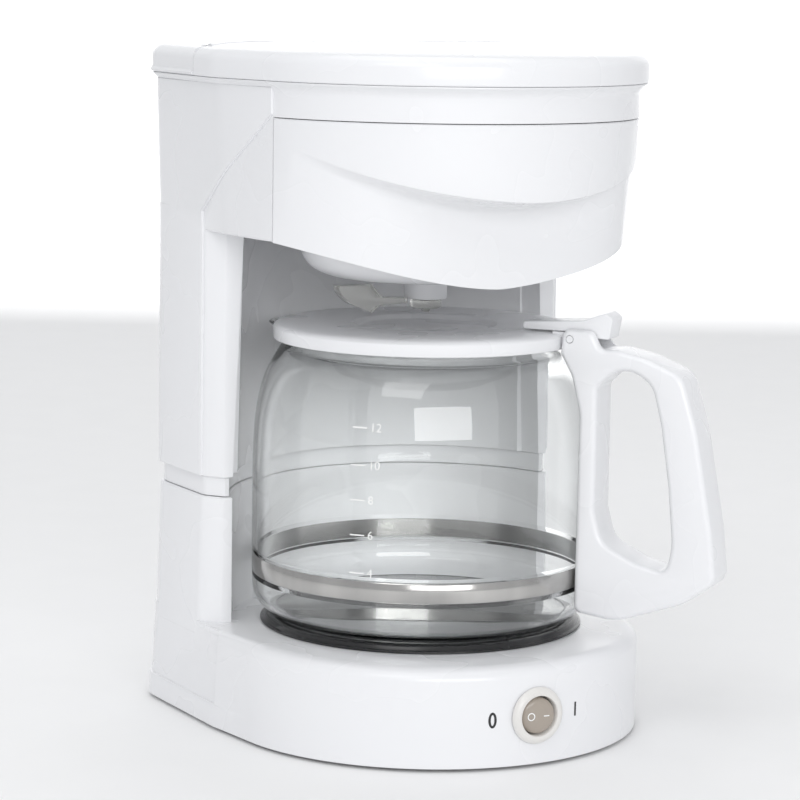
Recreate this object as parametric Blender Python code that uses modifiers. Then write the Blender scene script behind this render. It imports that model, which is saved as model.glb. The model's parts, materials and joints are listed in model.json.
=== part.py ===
"""Drip coffee maker: base with warming plate, column with water tank, head with
drawer-style brew basket, hinged top lid, and a glass carafe with its own lid and handle.

Units are metres, +Z is up and the front of the machine faces -Y.  Every piece is modelled
about the vertical axis of the carafe; the empty "machine" then shifts the whole object so
that the origin lies under the centre of its bounding box.
"""
from math import asin, atan2, cos, hypot, pi, radians, sin

import bmesh
import bpy
from mathutils import Matrix, Vector

for leftover in list(bpy.data.objects):
    bpy.data.objects.remove(leftover, do_unlink=True)

# ---------------------------------------------------------------- driving dimensions
GAP = 0.0003                # clearance between pieces that touch
ORIGIN_SHIFT = 0.00825      # carafe axis to the middle of the bounding box, along Y
WALL = 0.0024               # moulded wall thickness

# heights above the table
HOUSING_BOTTOM = 0.0015
SKIRT_TOP = 0.0118
DRUM_SHOULDER = 0.0405
DECK_Z = 0.0460             # flat top of the base, around the warming plate
SEAM_Z = 0.1030             # joint between base and upper housing
SHELL_BOTTOM = 0.1124       # lower edge of the raised rear shell
HEAD_FLOOR = 0.2240
DRAWER_TOP = 0.2774
HEAD_STEP = 0.2886
RIM_BOTTOM = 0.2932
RIM_SHOULDER = 0.3015
RIM_TOP = 0.3056
LID_CROWN = 0.3085

# plan sizes
BASE_HALF = 0.0985
BASE_FRONT = 0.1031
BASE_RADIUS = 0.0960
REAR_Y = 0.1000
REAR_CORNER = 0.0225         # rounding of the rear corners of column and head
COLUMN_HALF = 0.0935
COLUMN_FRONT_HALF = 0.0870
COLUMN_FRONT = 0.0290
RIDGE_Y = 0.0385
RECESS_RADIUS_LOW = 0.0876
RECESS_RADIUS_HIGH = 0.0830
SHELL_PROUD = 0.0012
HEAD_HALF = 0.0965
HEAD_HALF_LOW = 0.0930
HEAD_RADIUS = 0.0914
HEAD_FRONT = 0.0970
SHOULDER_Y = 0.0145         # where the flared sides reach full width
RIM_HALF = 0.1015
RIM_RADIUS = 0.0949
RIM_FRONT = 0.1014
RIM_REAR_HALF = 0.0985
RIM_REAR_CORNER = 0.0225
DECK_RIDGE = 0.0010         # ridge round the foot of the rear deck
LID_SPLIT = 0.0350          # seam between lid and rear deck, also the hinge axis
LID_AXIS_Z = 0.3040
KNUCKLE_RADIUS = 0.0034
TROUGH_HALF = 0.0930

# brew drawer
DRAWER_SWEEP = radians(79.0)
LIP_LOW = 0.2438            # lowest point of the smile-shaped finger lip
LIP_RISE = 0.0203
CHIN_LOW = 0.2041
CHIN_END = 0.2237
CHIN_DEPTH = 0.0410
DRAWER_SEAM_Y = -0.0228        # vertical seams at both ends of the drawer front
BASKET_RADIUS = 0.0570
BASKET_BOTTOM = 0.2040
BASKET_FLANGE_Z = 0.2627
TRAY_Z = 0.2600

# carafe
PLATE_TOP = 0.0495
GLASS_RADIUS = 0.0780
GLASS_WALL = 0.0022
GLASS_FOOT = 0.0498
BAND_LOW = 0.0685
BAND_HIGH = 0.0772
LID_RADIUS = 0.0690
LID_LOW = 0.1752
HANDLE_ANGLE = radians(38.0)    # turned from the front towards the right
HANDLE_HALF_WIDTH = 0.0110
LID_PIN_RADIUS = 0.0735
LID_PIN_Z = 0.1806

# rocker switch and water line
SWITCH_Z = 0.0231
ROCKER_AXIS_Y = -0.1021
ROCKER_TILT = radians(-7.0)     # at rest the side marked 0 is pressed in
HOSE_X = 0.0660
HOSE_Y = 0.0760
RISER_TOP = 0.2680

WHITE = ((0.86, 0.87, 0.90), 0.28, 0.0, 1.0)
GREY_PLASTIC = ((0.62, 0.62, 0.62), 0.45, 0.0, 1.0)
BLACK_PLASTIC = ((0.03, 0.03, 0.03), 0.45, 0.0, 1.0)
BLACK_ENAMEL = ((0.015, 0.015, 0.017), 0.35, 0.2, 1.0)
STEEL = ((0.60, 0.59, 0.57), 0.25, 1.0, 1.0)
ALUMINIUM = ((0.70, 0.70, 0.71), 0.4, 1.0, 1.0)
RUBBER = ((0.05, 0.05, 0.05), 0.8, 0.0, 1.0)
SILICONE = ((0.72, 0.72, 0.70), 0.6, 0.0, 1.0)
CLEAR = ((0.90, 0.90, 0.88), 0.1, 0.0, 0.4)
GLASS = ((0.93, 0.95, 0.95), 0.03, 0.0, 0.3)
SMOKE = ((0.52, 0.47, 0.42), 0.2, 0.0, 1.0)
WIRE_RED = ((0.55, 0.06, 0.05), 0.5, 0.0, 1.0)

PARTS = bpy.data.collections.new("drip_coffee_maker")
CUTTERS = bpy.data.collections.new("cutters")
bpy.context.scene.collection.children.link(PARTS)
bpy.context.scene.collection.children.link(CUTTERS)


# ---------------------------------------------------------------- scene helpers
def empty(name, location, parent=None):
    """An empty on a joint axis; location is in machine coordinates."""
    marker = bpy.data.objects.new(name, None)
    PARTS.objects.link(marker)
    marker.parent = parent
    marker.location = location
    return marker


MACHINE = empty("machine", (0.0, ORIGIN_SHIFT, 0.0))


def material(name, finish):
    colour, roughness, metallic, alpha = finish
    made = bpy.data.materials.new(name)
    made.use_nodes = True
    shader = made.node_tree.nodes["Principled BSDF"]
    shader.inputs["Base Color"].default_value = (*colour, 1.0)
    shader.inputs["Roughness"].default_value = roughness
    shader.inputs["Metallic"].default_value = metallic
    shader.inputs["Alpha"].default_value = alpha
    return made


def part(name, mesh, finish, pivot=MACHINE):
    """Link a finished mesh, drawn in machine coordinates, under its pivot empty."""
    made = bpy.data.objects.new(name, mesh)
    PARTS.objects.link(made)
    made.parent = pivot
    if pivot is not MACHINE:
        made.location = -pivot.location
    made.data.materials.append(material(name, finish))
    made.data.shade_smooth()
    made.data.set_sharp_from_angle(angle=radians(32))
    return made


def tool(mesh, pivot=MACHINE):
    """A cutting or joining body, kept out of the model."""
    made = bpy.data.objects.new(mesh.name + "_tool", mesh)
    CUTTERS.objects.link(made)
    made.parent = pivot
    if pivot is not MACHINE:
        made.location = -pivot.location
    made.hide_render = True
    made.display_type = "WIRE"
    return made


def combine(target, mesh, operation):
    modifier = target.modifiers.new(operation.lower(), "BOOLEAN")
    modifier.operation = operation
    modifier.solver = "EXACT"
    modifier.object = tool(mesh, target.parent)
    return target


def cut(target, *meshes):
    for mesh in meshes:
        combine(target, mesh, "DIFFERENCE")
    return target


def join(target, *meshes):
    for mesh in meshes:
        combine(target, mesh, "UNION")
    return target


# ---------------------------------------------------------------- mesh helpers
def mesh_from_bmesh(name, bm):
    bmesh.ops.recalc_face_normals(bm, faces=bm.faces)
    mesh = bpy.data.meshes.new(name)
    bm.to_mesh(mesh)
    bm.free()
    return mesh


def loft(name, sections):
    """Closed solid through matching outlines, given as (z, [(x, y), ...]) from the bottom up."""
    bm = bmesh.new()
    rings = [[bm.verts.new((x, y, z)) for x, y in outline] for z, outline in sections]
    count = len(rings[0])
    for low, high in zip(rings, rings[1:]):
        for i in range(count):
            j = (i + 1) % count
            bm.faces.new((low[i], low[j], high[j], high[i]))
    bm.faces.new(rings[0][::-1])
    bm.faces.new(rings[-1])
    return mesh_from_bmesh(name, bm)


def box(name, low, high):
    bm = bmesh.new()
    bmesh.ops.create_cube(bm, size=1.0)
    centre = [(a + b) / 2 for a, b in zip(low, high)]
    size = [b - a for a, b in zip(low, high)]
    bmesh.ops.scale(bm, vec=size, verts=bm.verts)
    bmesh.ops.translate(bm, vec=centre, verts=bm.verts)
    return mesh_from_bmesh(name, bm)


def cylinder(name, start, end, radius, segments=20, end_radius=None):
    """A round bar or cone from start to end."""
    start, end = Vector(start), Vector(end)
    along = end - start
    bm = bmesh.new()
    bmesh.ops.create_cone(bm, cap_ends=True, segments=segments, radius1=radius,
                          radius2=radius if end_radius is None else end_radius,
                          depth=along.length)
    turn = along.to_track_quat("Z", "Y").to_matrix().to_4x4()
    bmesh.ops.transform(bm, matrix=Matrix.Translation((start + end) / 2) @ turn, verts=bm.verts)
    return mesh_from_bmesh(name, bm)


def turned(name, profile, segments=48, ring=False):
    """Mesh of a Screw modifier around Z; the profile runs down its outer side."""
    mesh = bpy.data.meshes.new(name)
    edges = [(i, i + 1) for i in range(len(profile) - 1)]
    if ring:
        edges.append((len(profile) - 1, 0))
    mesh.from_pydata([(r, 0.0, z) for r, z in profile], edges, [])
    holder = bpy.data.objects.new(name, mesh)
    CUTTERS.objects.link(holder)
    screw = holder.modifiers.new("screw", "SCREW")
    screw.steps = segments
    screw.render_steps = segments
    screw.use_merge_vertices = True
    screw.merge_threshold = 0.00001
    result = evaluated_mesh(name, holder)
    bpy.data.objects.remove(holder, do_unlink=True)
    return result


def evaluated_mesh(name, holder):
    bpy.context.view_layer.update()
    graph = bpy.context.evaluated_depsgraph_get()
    result = bpy.data.meshes.new_from_object(holder.evaluated_get(graph))
    result.name = name
    return result


def placed(mesh, matrix):
    mesh.transform(matrix)
    return mesh


def smooth_path(points, per_span=5):
    """Points of a Catmull-Rom curve through the given points."""
    knots = [Vector(p) for p in points]
    knots = [2 * knots[0] - knots[1]] + knots + [2 * knots[-1] - knots[-2]]
    path = []
    for a, b, c, d in zip(knots, knots[1:], knots[2:], knots[3:]):
        for step in range(per_span):
            t = step / per_span
            path.append(0.5 * ((2 * b) + (c - a) * t + (2 * a - 5 * b + 4 * c - d) * t * t
                               + (3 * b - a - 3 * c + d) * t ** 3))
    path.append(knots[-2])
    return path


def tube(name, points, radius, per_span=5, resolution=2):
    """A solid round bar along a smooth route."""
    curve = bpy.data.curves.new(name, "CURVE")
    curve.dimensions = "3D"
    curve.bevel_depth = radius
    curve.bevel_resolution = resolution
    curve.use_fill_caps = True
    spline = curve.splines.new("POLY")
    path = smooth_path(points, per_span)
    spline.points.add(len(path) - 1)
    for point, place in zip(spline.points, path):
        point.co = (*place, 1.0)
    holder = bpy.data.objects.new(name, curve)
    CUTTERS.objects.link(holder)
    mesh = evaluated_mesh(name, holder)
    bpy.data.objects.remove(holder, do_unlink=True)
    bm = bmesh.new()
    bm.from_mesh(mesh)
    bmesh.ops.remove_doubles(bm, verts=bm.verts, dist=0.00002)
    bpy.data.meshes.remove(mesh)
    return mesh_from_bmesh(name, bm)


def merged(name, meshes):
    """Several separate solids in one mesh."""
    bm = bmesh.new()
    for mesh in meshes:
        bm.from_mesh(mesh)
        bpy.data.meshes.remove(mesh)
    return mesh_from_bmesh(name, bm)


# ---------------------------------------------------------------- plan outlines
def arc(centre_x, centre_y, radius, start, end, steps):
    return [(centre_x + radius * cos(start + (end - start) * i / steps),
             centre_y + radius * sin(start + (end - start) * i / steps))
            for i in range(steps + 1)]


def front_sweep(half, front, radius, shoulder):
    """Half angle of the round front that runs tangent into the flared sides."""
    span_y = shoulder - (radius - front)
    return atan2(span_y, half) + asin(min(1.0, radius / hypot(half, span_y)))


def front_arc(half, front, radius, shoulder, steps=26):
    sweep = front_sweep(half, front, radius, shoulder)
    return arc(0.0, radius - front, radius, -pi / 2 - sweep, -pi / 2 + sweep, steps)


def rear_corners(half, rear, corner, steps=5):
    right = arc(half - corner, rear - corner, corner, 0.0, pi / 2, steps)
    return right + [(-x, y) for x, y in right[::-1]]


def plan_outline(inset=0.0, half=HEAD_HALF, front=HEAD_FRONT, radius=HEAD_RADIUS,
                 rear=REAR_Y, corner=REAR_CORNER, shoulder=SHOULDER_Y, rear_half=None):
    """Round front, sides flared back to the shoulder, rounded rear corners."""
    rear_half = half if rear_half is None else rear_half
    outline = front_arc(half - inset, front - inset, radius - inset, shoulder)
    outline.append((half - inset, shoulder))
    outline += rear_corners(rear_half - inset, rear - inset, corner - min(inset, corner / 2))
    outline.append((-half + inset, shoulder))
    return outline


def base_outline(inset, drum_half, wall_half, top_inset=0.0):
    """Round drum in front that stands a little proud of the plainer rear walls."""
    outline = front_arc(drum_half - inset, BASE_FRONT - inset - top_inset,
                        BASE_RADIUS - inset - top_inset, SHOULDER_Y - top_inset)
    step_y = SHOULDER_Y + 0.0004
    rear = rear_corners(wall_half - inset, REAR_Y + 0.001 - inset, 0.022 - inset)
    return (outline + [(drum_half - inset, SHOULDER_Y), (wall_half - inset, step_y)] + rear
            + [(-wall_half + inset, step_y), (-drum_half + inset, SHOULDER_Y)])


def column_outline(inset=0.0, half=COLUMN_HALF, recess=RECESS_RADIUS_LOW, corner=REAR_CORNER,
                   front=COLUMN_FRONT, rear=REAR_Y, steps=18):
    """Column section: flat back, slanted front corners, round recess for the carafe."""
    recess = recess + inset
    front = front + inset
    mouth = asin(front / recess)
    mouth_x = recess * cos(mouth)
    cheek = COLUMN_FRONT_HALF - inset + (half - COLUMN_HALF) * 0.6
    right = [(max(cheek, mouth_x + 0.0008), front), (half - inset, RIDGE_Y + 0.3 * inset)]
    outline = right + rear_corners(half - inset, rear - inset, corner - min(inset, 0.005))
    outline += [(-x, y) for x, y in right[::-1]]
    return outline + arc(0.0, 0.0, recess, pi - mouth, mouth, steps)


# ---------------------------------------------------------------- base
BOSS_PLACES = [(-0.0906, 0.060), (0.0906, 0.060), (-0.066, -0.050), (0.066, -0.050)]
POST_PLACES = [(-0.0880, 0.0480), (0.0880, 0.0480)]
FOOT_PLACES = [(-0.060, 0.082), (0.060, 0.082), (-0.052, -0.066), (0.052, -0.066)]


def base_housing():
    """Outer moulding of the base with the lower part of the column."""
    low_half, deck_half = 0.0973, 0.0955
    lower = loft("base_housing", [
        (HOUSING_BOTTOM, base_outline(0.0, BASE_HALF, low_half)),
        (0.0125, base_outline(0.0, BASE_HALF - 0.0004, low_half)),
        (DRUM_SHOULDER, base_outline(0.0, BASE_HALF - 0.0018, deck_half + 0.0002)),
        (0.0427, base_outline(0.0, BASE_HALF - 0.0021, deck_half + 0.0001, 0.0006)),
        (0.0445, base_outline(0.0, BASE_HALF - 0.0030, deck_half, 0.0022)),
        (0.0456, base_outline(0.0, BASE_HALF - 0.0040, deck_half - 0.0001, 0.0048)),
        (DECK_Z, base_outline(0.0, BASE_HALF - 0.0050, deck_half - 0.0002, 0.0080))])
    housing = part("base_housing", lower, WHITE)
    skirt = loft("skirt", [
        (HOUSING_BOTTOM, base_outline(0.0004, BASE_HALF + 0.0007, BASE_HALF + 0.0007)),
        (SKIRT_TOP - 0.001, base_outline(0.0004, BASE_HALF + 0.0005, BASE_HALF + 0.0005)),
        (SKIRT_TOP, base_outline(0.0004, BASE_HALF - 0.0004, BASE_HALF - 0.0008))])
    column = loft("column_foot", [
        (DECK_Z - 0.006, column_outline(half=deck_half + 0.0003)),
        (SEAM_Z, column_outline(half=COLUMN_HALF))])
    inner_deck = DECK_Z - WALL
    hollow_low = loft("hollow_low", [
        (-0.010, base_outline(WALL, BASE_HALF, low_half)),
        (DRUM_SHOULDER - 0.003, base_outline(WALL, BASE_HALF - 0.0018, deck_half)),
        (inner_deck, base_outline(WALL, BASE_HALF - 0.0030, deck_half, 0.0060))])
    hollow_column = loft("hollow_column", [
        (inner_deck - 0.004, column_outline(WALL, half=deck_half)),
        (SEAM_Z + 0.010, column_outline(WALL, half=COLUMN_HALF))])
    join(housing, skirt, column)
    cut(housing, hollow_low, hollow_column)
    join(housing, *[cylinder("boss", (x, y, 0.0060), (x, y, inner_deck + 0.0010), 0.0046, 12)
                    for x, y in BOSS_PLACES])
    cut(housing,
        cylinder("plate_well", (0, 0, DECK_Z - 0.010), (0, 0, DECK_Z + 0.002), 0.0702, 48),
        cylinder("switch_hole", (0, -0.110, SWITCH_Z), (0, -0.090, SWITCH_Z), 0.0108, 28),
        cylinder("cord_inlet", (0.045, 0.090, 0.024), (0.045, 0.110, 0.024), 0.0066, 20),
        *[cylinder("pilot", (x, y, 0.0050), (x, y, 0.0200), 0.0017, 10) for x, y in BOSS_PLACES])
    join(housing, *[cylinder("post", (x, y, 0.0900), (x, y, SEAM_Z - GAP), 0.0042, 12)
                    for x, y in POST_PLACES])
    cut(housing, *[cylinder("post_bore", (x, y, 0.0890), (x, y, SEAM_Z), 0.0019, 10)
                   for x, y in POST_PLACES])
    return housing


def base_plate():
    """Flat bottom cover with cooling slots."""
    inset = WALL + 0.0006
    low, high = 0.0022, 0.0040
    plate = part("base_plate", loft("base_plate", [
        (low, base_outline(inset, BASE_HALF, 0.0973)),
        (high, base_outline(inset, BASE_HALF, 0.0973))]), GREY_PLASTIC)
    slots = [box("slot", (-0.030, -0.026 + 0.016 * i, 0.0), (0.030, -0.021 + 0.016 * i, 0.010))
             for i in range(4)]
    holes = [cylinder("hole", (x, y, 0.0), (x, y, 0.010), 0.0019, 10) for x, y in BOSS_PLACES]
    stems = [cylinder("stem", (x, y, 0.0), (x, y, 0.010), 0.0029, 12) for x, y in FOOT_PLACES]
    return cut(plate, *slots, *holes, *stems)


def rubber_foot(index, x, y):
    profile = [(0.0, 0.0046), (0.0026, 0.0046), (0.0026, 0.0018), (0.0080, 0.0018),
               (0.0080, 0.0006), (0.0074, 0.0), (0.0, 0.0)]
    pad = placed(turned("foot", profile, 14), Matrix.Translation((x, y, 0.0)))
    return part(f"rubber_foot_{index}", pad, RUBBER)


def base_screws():
    """Four self-tapping screws that hold the bottom cover."""
    profile = [(0.0, 0.0170), (0.0012, 0.0160), (0.0014, 0.0019), (0.0034, 0.0019),
               (0.0034, 0.0010), (0.0024, 0.0004), (0.0, 0.0004)]
    screws = [placed(turned("screw", profile, 12), Matrix.Translation((x, y, 0.0)))
              for x, y in BOSS_PLACES]
    for number, screw in enumerate(screws, 1):
        part(f"base_screw_{number}", screw, STEEL)


def housing_screws():
    """Long screws that tie the upper housing down to the base."""
    profile = [(0.0, 0.1130), (0.0014, 0.1120), (0.0014, 0.0897), (0.0032, 0.0897),
               (0.0032, 0.0878), (0.0, 0.0878)]
    screws = [placed(turned("screw", profile, 12), Matrix.Translation((x, y, 0.0)))
              for x, y in POST_PLACES]
    for number, screw in enumerate(screws, 1):
        part(f"housing_screw_{number}", screw, STEEL)


def cord_gland():
    """Bushing in the rear wall where the mains lead enters."""
    profile = [(0.0078, 0.0024), (0.0078, 0.0016), (0.0062, 0.0016), (0.0062, -0.0026),
               (0.0042, -0.0026), (0.0042, 0.0024)]
    ring = turned("cord_gland", profile, 24, ring=True)
    place = Matrix.Translation((0.045, 0.0997, 0.024)) @ Matrix.Rotation(-pi / 2, 4, "X")
    return part("cord_gland", placed(ring, place), BLACK_PLASTIC)


def warming_plate():
    """Enamelled pan whose flange rests on the deck."""
    lip = DECK_Z + GAP
    profile = [(0.0, PLATE_TOP), (0.0690, PLATE_TOP), (0.0705, PLATE_TOP),
               (0.0716, PLATE_TOP - 0.0002), (0.0724, PLATE_TOP - 0.0008), (0.0726, lip + 0.0012),
               (0.0737, lip + 0.0008), (0.0738, lip), (0.0712, lip), (0.0684, lip),
               (0.0684, 0.0426), (0.0674, 0.0426), (0.0674, PLATE_TOP - 0.0010),
               (0.0, PLATE_TOP - 0.0010)]
    return part("warming_plate", turned("warming_plate", profile, 36), BLACK_ENAMEL)


def plate_seal():
    """Silicone ring between the pan and the rim of its well."""
    profile = [(0.0699, 0.0458), (0.0699, 0.0432), (0.0688, 0.0432), (0.0688, 0.0458)]
    return part("plate_seal", turned("plate_seal", profile, 36, ring=True), SILICONE)


def horseshoe(name, radius, z, thickness, opening, tail):
    """Bar bent round the axis, with both ends running straight back."""
    sweep = pi - opening
    bend = [(radius * sin(a), -radius * cos(a), z)
            for a in [(-1 + 2 * i / 12) * sweep for i in range(13)]]
    left, right = bend[0], bend[-1]
    legs = [[(end[0] + side * 0.002, y, z) for y in (tail - 0.008, tail)]
            for end, side in ((left, -1), (right, 1))]
    return tube(name, legs[0][::-1] + bend + legs[1], thickness, per_span=2)


def heating_parts():
    """Heater and water tube, clamped against the pan by a bracket on a central stud."""
    part("heater_element", horseshoe("heater_element", 0.0500, 0.0448, 0.0034, 0.62, 0.052),
         STEEL)
    part("water_tube", horseshoe("water_tube", 0.0500, 0.0371, 0.0040, 0.62, 0.060), ALUMINIUM)
    bracket = part("heater_bracket", box("heater_bracket", (-0.0560, -0.0060, 0.0308),
                                         (0.0560, 0.0060, 0.0328)), STEEL)
    cut(bracket, cylinder("stud_hole", (0, 0, 0.030), (0, 0, 0.034), 0.0023, 12))
    nut_low, nut_high = 0.0278, 0.0305
    profile = [(0.0, 0.0482), (0.0020, 0.0482), (0.0020, nut_high), (0.0044, nut_high),
               (0.0044, nut_low), (0.0, nut_low)]
    part("bracket_stud", turned("bracket_stud", profile, 12), STEEL)
    part("thermostat", cylinder("thermostat", (-0.020, 0.022, 0.0368), (-0.020, 0.022, 0.0482),
                                0.0085, 24), BLACK_PLASTIC)
    for number, y in enumerate((0.018, 0.026), 1):
        fuse = cylinder("fuse", (0.012, y, 0.0420), (0.030, y, 0.0420), 0.0022, 12)
        part(f"thermal_fuse_{number}", fuse, STEEL)


# ---------------------------------------------------------------- water line
def check_valve():
    place = Matrix.Translation((-HOSE_X, HOSE_Y, 0.0))
    profile = [(0.0, 0.1160), (0.0042, 0.1160), (0.0042, 0.1085), (0.0062, 0.1080),
               (0.0062, 0.0960), (0.0042, 0.0955), (0.0042, 0.0920), (0.0, 0.0920)]
    return part("check_valve", placed(turned("check_valve", profile, 20), place), CLEAR)


def water_hoses():
    """Cold hose to the heater, hot hose back up, and the riser beside the tank."""
    inlet = horseshoe_end(-1)
    cold = [(-HOSE_X, HOSE_Y, 0.0917), (-HOSE_X, HOSE_Y, 0.0600), (-0.0640, 0.0775, 0.0450),
            (-0.0540, 0.0805, 0.0375), (-0.0390, 0.0790, 0.0368), (inlet, 0.0690, 0.0371),
            (inlet, 0.0606, 0.0371)]
    part("cold_hose", tube("cold_hose", cold, 0.0050, per_span=4), SILICONE)
    hot = [(-x, y, z) for x, y, z in cold]
    part("hot_hose", tube("hot_hose", hot, 0.0050, per_span=4), SILICONE)
    riser = cylinder("riser_tube", (HOSE_X, HOSE_Y, 0.0920), (HOSE_X, HOSE_Y, RISER_TOP),
                     0.0042, 16)
    part("riser_tube", riser, CLEAR)


def horseshoe_end(side):
    return side * (0.0500 * sin(pi - 0.62) + 0.002)


def spray_arm():
    """Swept tube from the riser to the spray head over the basket."""
    z = 0.2880
    arm = tube("spray_arm", [(HOSE_X, HOSE_Y, RISER_TOP + 0.0010), (HOSE_X, HOSE_Y, z - 0.012),
                             (0.062, 0.071, z - 0.002), (0.040, 0.045, z), (0.016, 0.018, z),
                             (0.0, 0.0, z)], 0.0042, per_span=4)
    made = part("spray_arm", arm, WHITE)
    head = turned("spray_head", [(0.0, 0.2935), (0.0110, 0.2930), (0.0150, 0.2860),
                                 (0.0150, 0.2835), (0.0, 0.2835)], 28)
    return join(made, head)


# ---------------------------------------------------------------- upper housing
def head_outline(z, inset=0.0):
    """Head section; the head widens from its floor up to the step under the rim."""
    rise = (z - HEAD_FLOOR) / (HEAD_STEP - HEAD_FLOOR)
    half = HEAD_HALF_LOW + (HEAD_HALF + 0.0003 - HEAD_HALF_LOW) * rise
    return plan_outline(inset, half=half, rear_half=min(half, 0.0950))


def flare_outline(share):
    """Section between the head's side and the width of the rim above it."""
    return [(x + (wide_x - x) * share, y + (wide_y - y) * share)
            for (x, y), (wide_x, wide_y) in zip(head_outline(HEAD_STEP), rim_outline(0.0006))]


def raised_shell():
    """Slightly proud skin over the rear, ended by a slanting crease on each side."""
    skin = loft("raised_shell", [
        (SHELL_BOTTOM, column_outline(-SHELL_PROUD, recess=0.0860)),
        (HEAD_FLOOR, column_outline(-SHELL_PROUD, recess=RECESS_RADIUS_HIGH + 0.001)),
        (HEAD_STEP - 0.0002, column_outline(-SHELL_PROUD, half=HEAD_HALF + 0.0003,
                                            recess=RECESS_RADIUS_HIGH + 0.001))])
    return skin


def upper_housing():
    """Column and head in one moulding, open at the top for the tank."""
    floor_top = HEAD_FLOOR + WALL
    column = loft("upper_housing", [
        (SEAM_Z + GAP, column_outline(0.0012)),
        (SHELL_BOTTOM - 0.0010, column_outline(0.0012)),
        (SHELL_BOTTOM, column_outline(0.0, recess=RECESS_RADIUS_LOW - 0.0003)),
        (HEAD_FLOOR + 0.0015, column_outline(0.0, recess=RECESS_RADIUS_HIGH))])
    housing = part("upper_housing", column, WHITE)
    head = loft("head", [
        (HEAD_FLOOR, head_outline(HEAD_FLOOR)),
        (HEAD_STEP, head_outline(HEAD_STEP)),
        (HEAD_STEP + 0.0020, flare_outline(0.30)),
        (RIM_BOTTOM - 0.0008, flare_outline(1.0)),
        (RIM_BOTTOM - GAP, flare_outline(1.0))])
    crease = loft_side_prism([(RIDGE_Y, 0.1110), (RIDGE_Y, 0.2330), (-0.0225, 0.2790),
                              (-0.0225, HEAD_STEP - 0.0002), (0.1100, HEAD_STEP - 0.0002),
                              (0.1100, 0.1110)], 0.1100)
    shell = raised_shell()
    inner_column = loft("inner_column", [
        (SEAM_Z - 0.010, column_outline(WALL + 0.0012)),
        (SHELL_BOTTOM, column_outline(WALL, recess=RECESS_RADIUS_LOW - 0.0003)),
        (HEAD_FLOOR, column_outline(WALL, recess=RECESS_RADIUS_HIGH)),
        (floor_top + 0.004, column_outline(WALL, recess=RECESS_RADIUS_HIGH))])
    inner_head = loft("inner_head", [
        (floor_top, head_outline(floor_top, WALL)),
        (HEAD_STEP, head_outline(HEAD_STEP, WALL + 0.0002)),
        (RIM_BOTTOM + 0.010, head_outline(HEAD_STEP, WALL + 0.0002))])
    window_half = (HEAD_RADIUS + 0.0) * sin(DRAWER_SWEEP) + GAP
    window_rear = DRAWER_SEAM_Y + 0.0005
    combine(housing, head, "UNION")
    skin = tool(shell)
    trim = skin.modifiers.new("crease", "BOOLEAN")
    trim.operation = "INTERSECT"
    trim.solver = "EXACT"
    trim.object = tool(crease)
    grown = housing.modifiers.new("union", "BOOLEAN")
    grown.operation = "UNION"
    grown.solver = "EXACT"
    grown.object = skin
    cut(housing, inner_column, inner_head,
        box("drawer_window", (-window_half, -0.120, 0.190),
            (window_half, window_rear, DRAWER_TOP + GAP)),
        cylinder("basket_slot_round", (0, 0, 0.2200), (0, 0, 0.2300), 0.0620, 40),
        box("basket_slot", (-0.0620, -0.0900, 0.2200), (0.0620, 0.0, 0.2300)))
    join(housing, *housing_ledges(window_rear))
    cut(housing, *[cylinder("post_pilot", (x, y, 0.1030), (x, y, 0.1140), 0.0017, 10)
                   for x, y in POST_PLACES])
    return housing


def mirrored_box(name, low, high):
    """A box and its twin on the other side of the machine."""
    twin_low, twin_high = (-high[0], low[1], low[2]), (-low[0], high[1], high[2])
    return [box(name, low, high), box(name, twin_low, twin_high)]


def housing_ledges(window_rear):
    """Drawer rails, rests for the tank and the shower plate, and the screw posts."""
    rails = mirrored_box("rail", (0.0795, window_rear + 0.001, 0.2570),
                         (0.0885, 0.0300, TRAY_Z - GAP))
    tank_rests = mirrored_box("tank_rest", (0.0820, 0.0600, 0.1142), (0.0920, 0.0780, 0.1162))
    side_rests = mirrored_box("side_rest", (0.0840, -0.0040, 0.2776), (0.0920, 0.0200, 0.2797))
    front_rests = mirrored_box("front_rest", (0.0500, -0.0768, 0.2782), (0.0560, -0.0680, 0.2797))
    posts = [cylinder("post", (x, y, SEAM_Z + 0.0008), (x, y, 0.1156), 0.0042, 12)
             for x, y in POST_PLACES]
    return rails + tank_rests + side_rests + front_rests + posts


def loft_side_prism(profile, half_width):
    """Prism across the machine from an outline in the (y, z) plane."""
    bm = bmesh.new()
    left = [bm.verts.new((-half_width, y, z)) for y, z in profile]
    right = [bm.verts.new((half_width, y, z)) for y, z in profile]
    count = len(profile)
    for i in range(count):
        j = (i + 1) % count
        bm.faces.new((left[i], left[j], right[j], right[i]))
    bm.faces.new(left[::-1])
    bm.faces.new(right)
    return mesh_from_bmesh("side_prism", bm)


def tank_outline(inset, recess):
    return column_outline(inset, half=0.0900, recess=recess, corner=0.0180, front=0.0335,
                          rear=0.0952, steps=18)


def water_tank():
    """Tank that fills the rear of the column and of the head."""
    low, step, top = 0.1165, 0.2269, 0.2830
    wall = 0.0018
    tank = part("water_tank", loft("water_tank", [
        (low, tank_outline(0.0, 0.0905)), (0.2200, tank_outline(0.0, 0.0868)),
        (step, tank_outline(0.0, 0.0868)), (step + 0.0008, tank_outline(0.0, 0.0650)),
        (top, tank_outline(0.0, 0.0650))]), WHITE)
    hollow = loft("tank_hollow", [
        (low + wall, tank_outline(wall, 0.0905)), (0.2200, tank_outline(wall, 0.0868)),
        (step + wall, tank_outline(wall, 0.0868)),
        (step + wall + 0.0008, tank_outline(wall, 0.0650)),
        (top + 0.010, tank_outline(wall, 0.0650))])
    cut(tank, hollow,
        cylinder("outlet", (-HOSE_X, HOSE_Y, 0.110), (-HOSE_X, HOSE_Y, 0.125), 0.0036, 16),
        cylinder("riser_hole", (HOSE_X, HOSE_Y, 0.110), (HOSE_X, HOSE_Y, 0.125), 0.0045, 16))
    return tank


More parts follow.
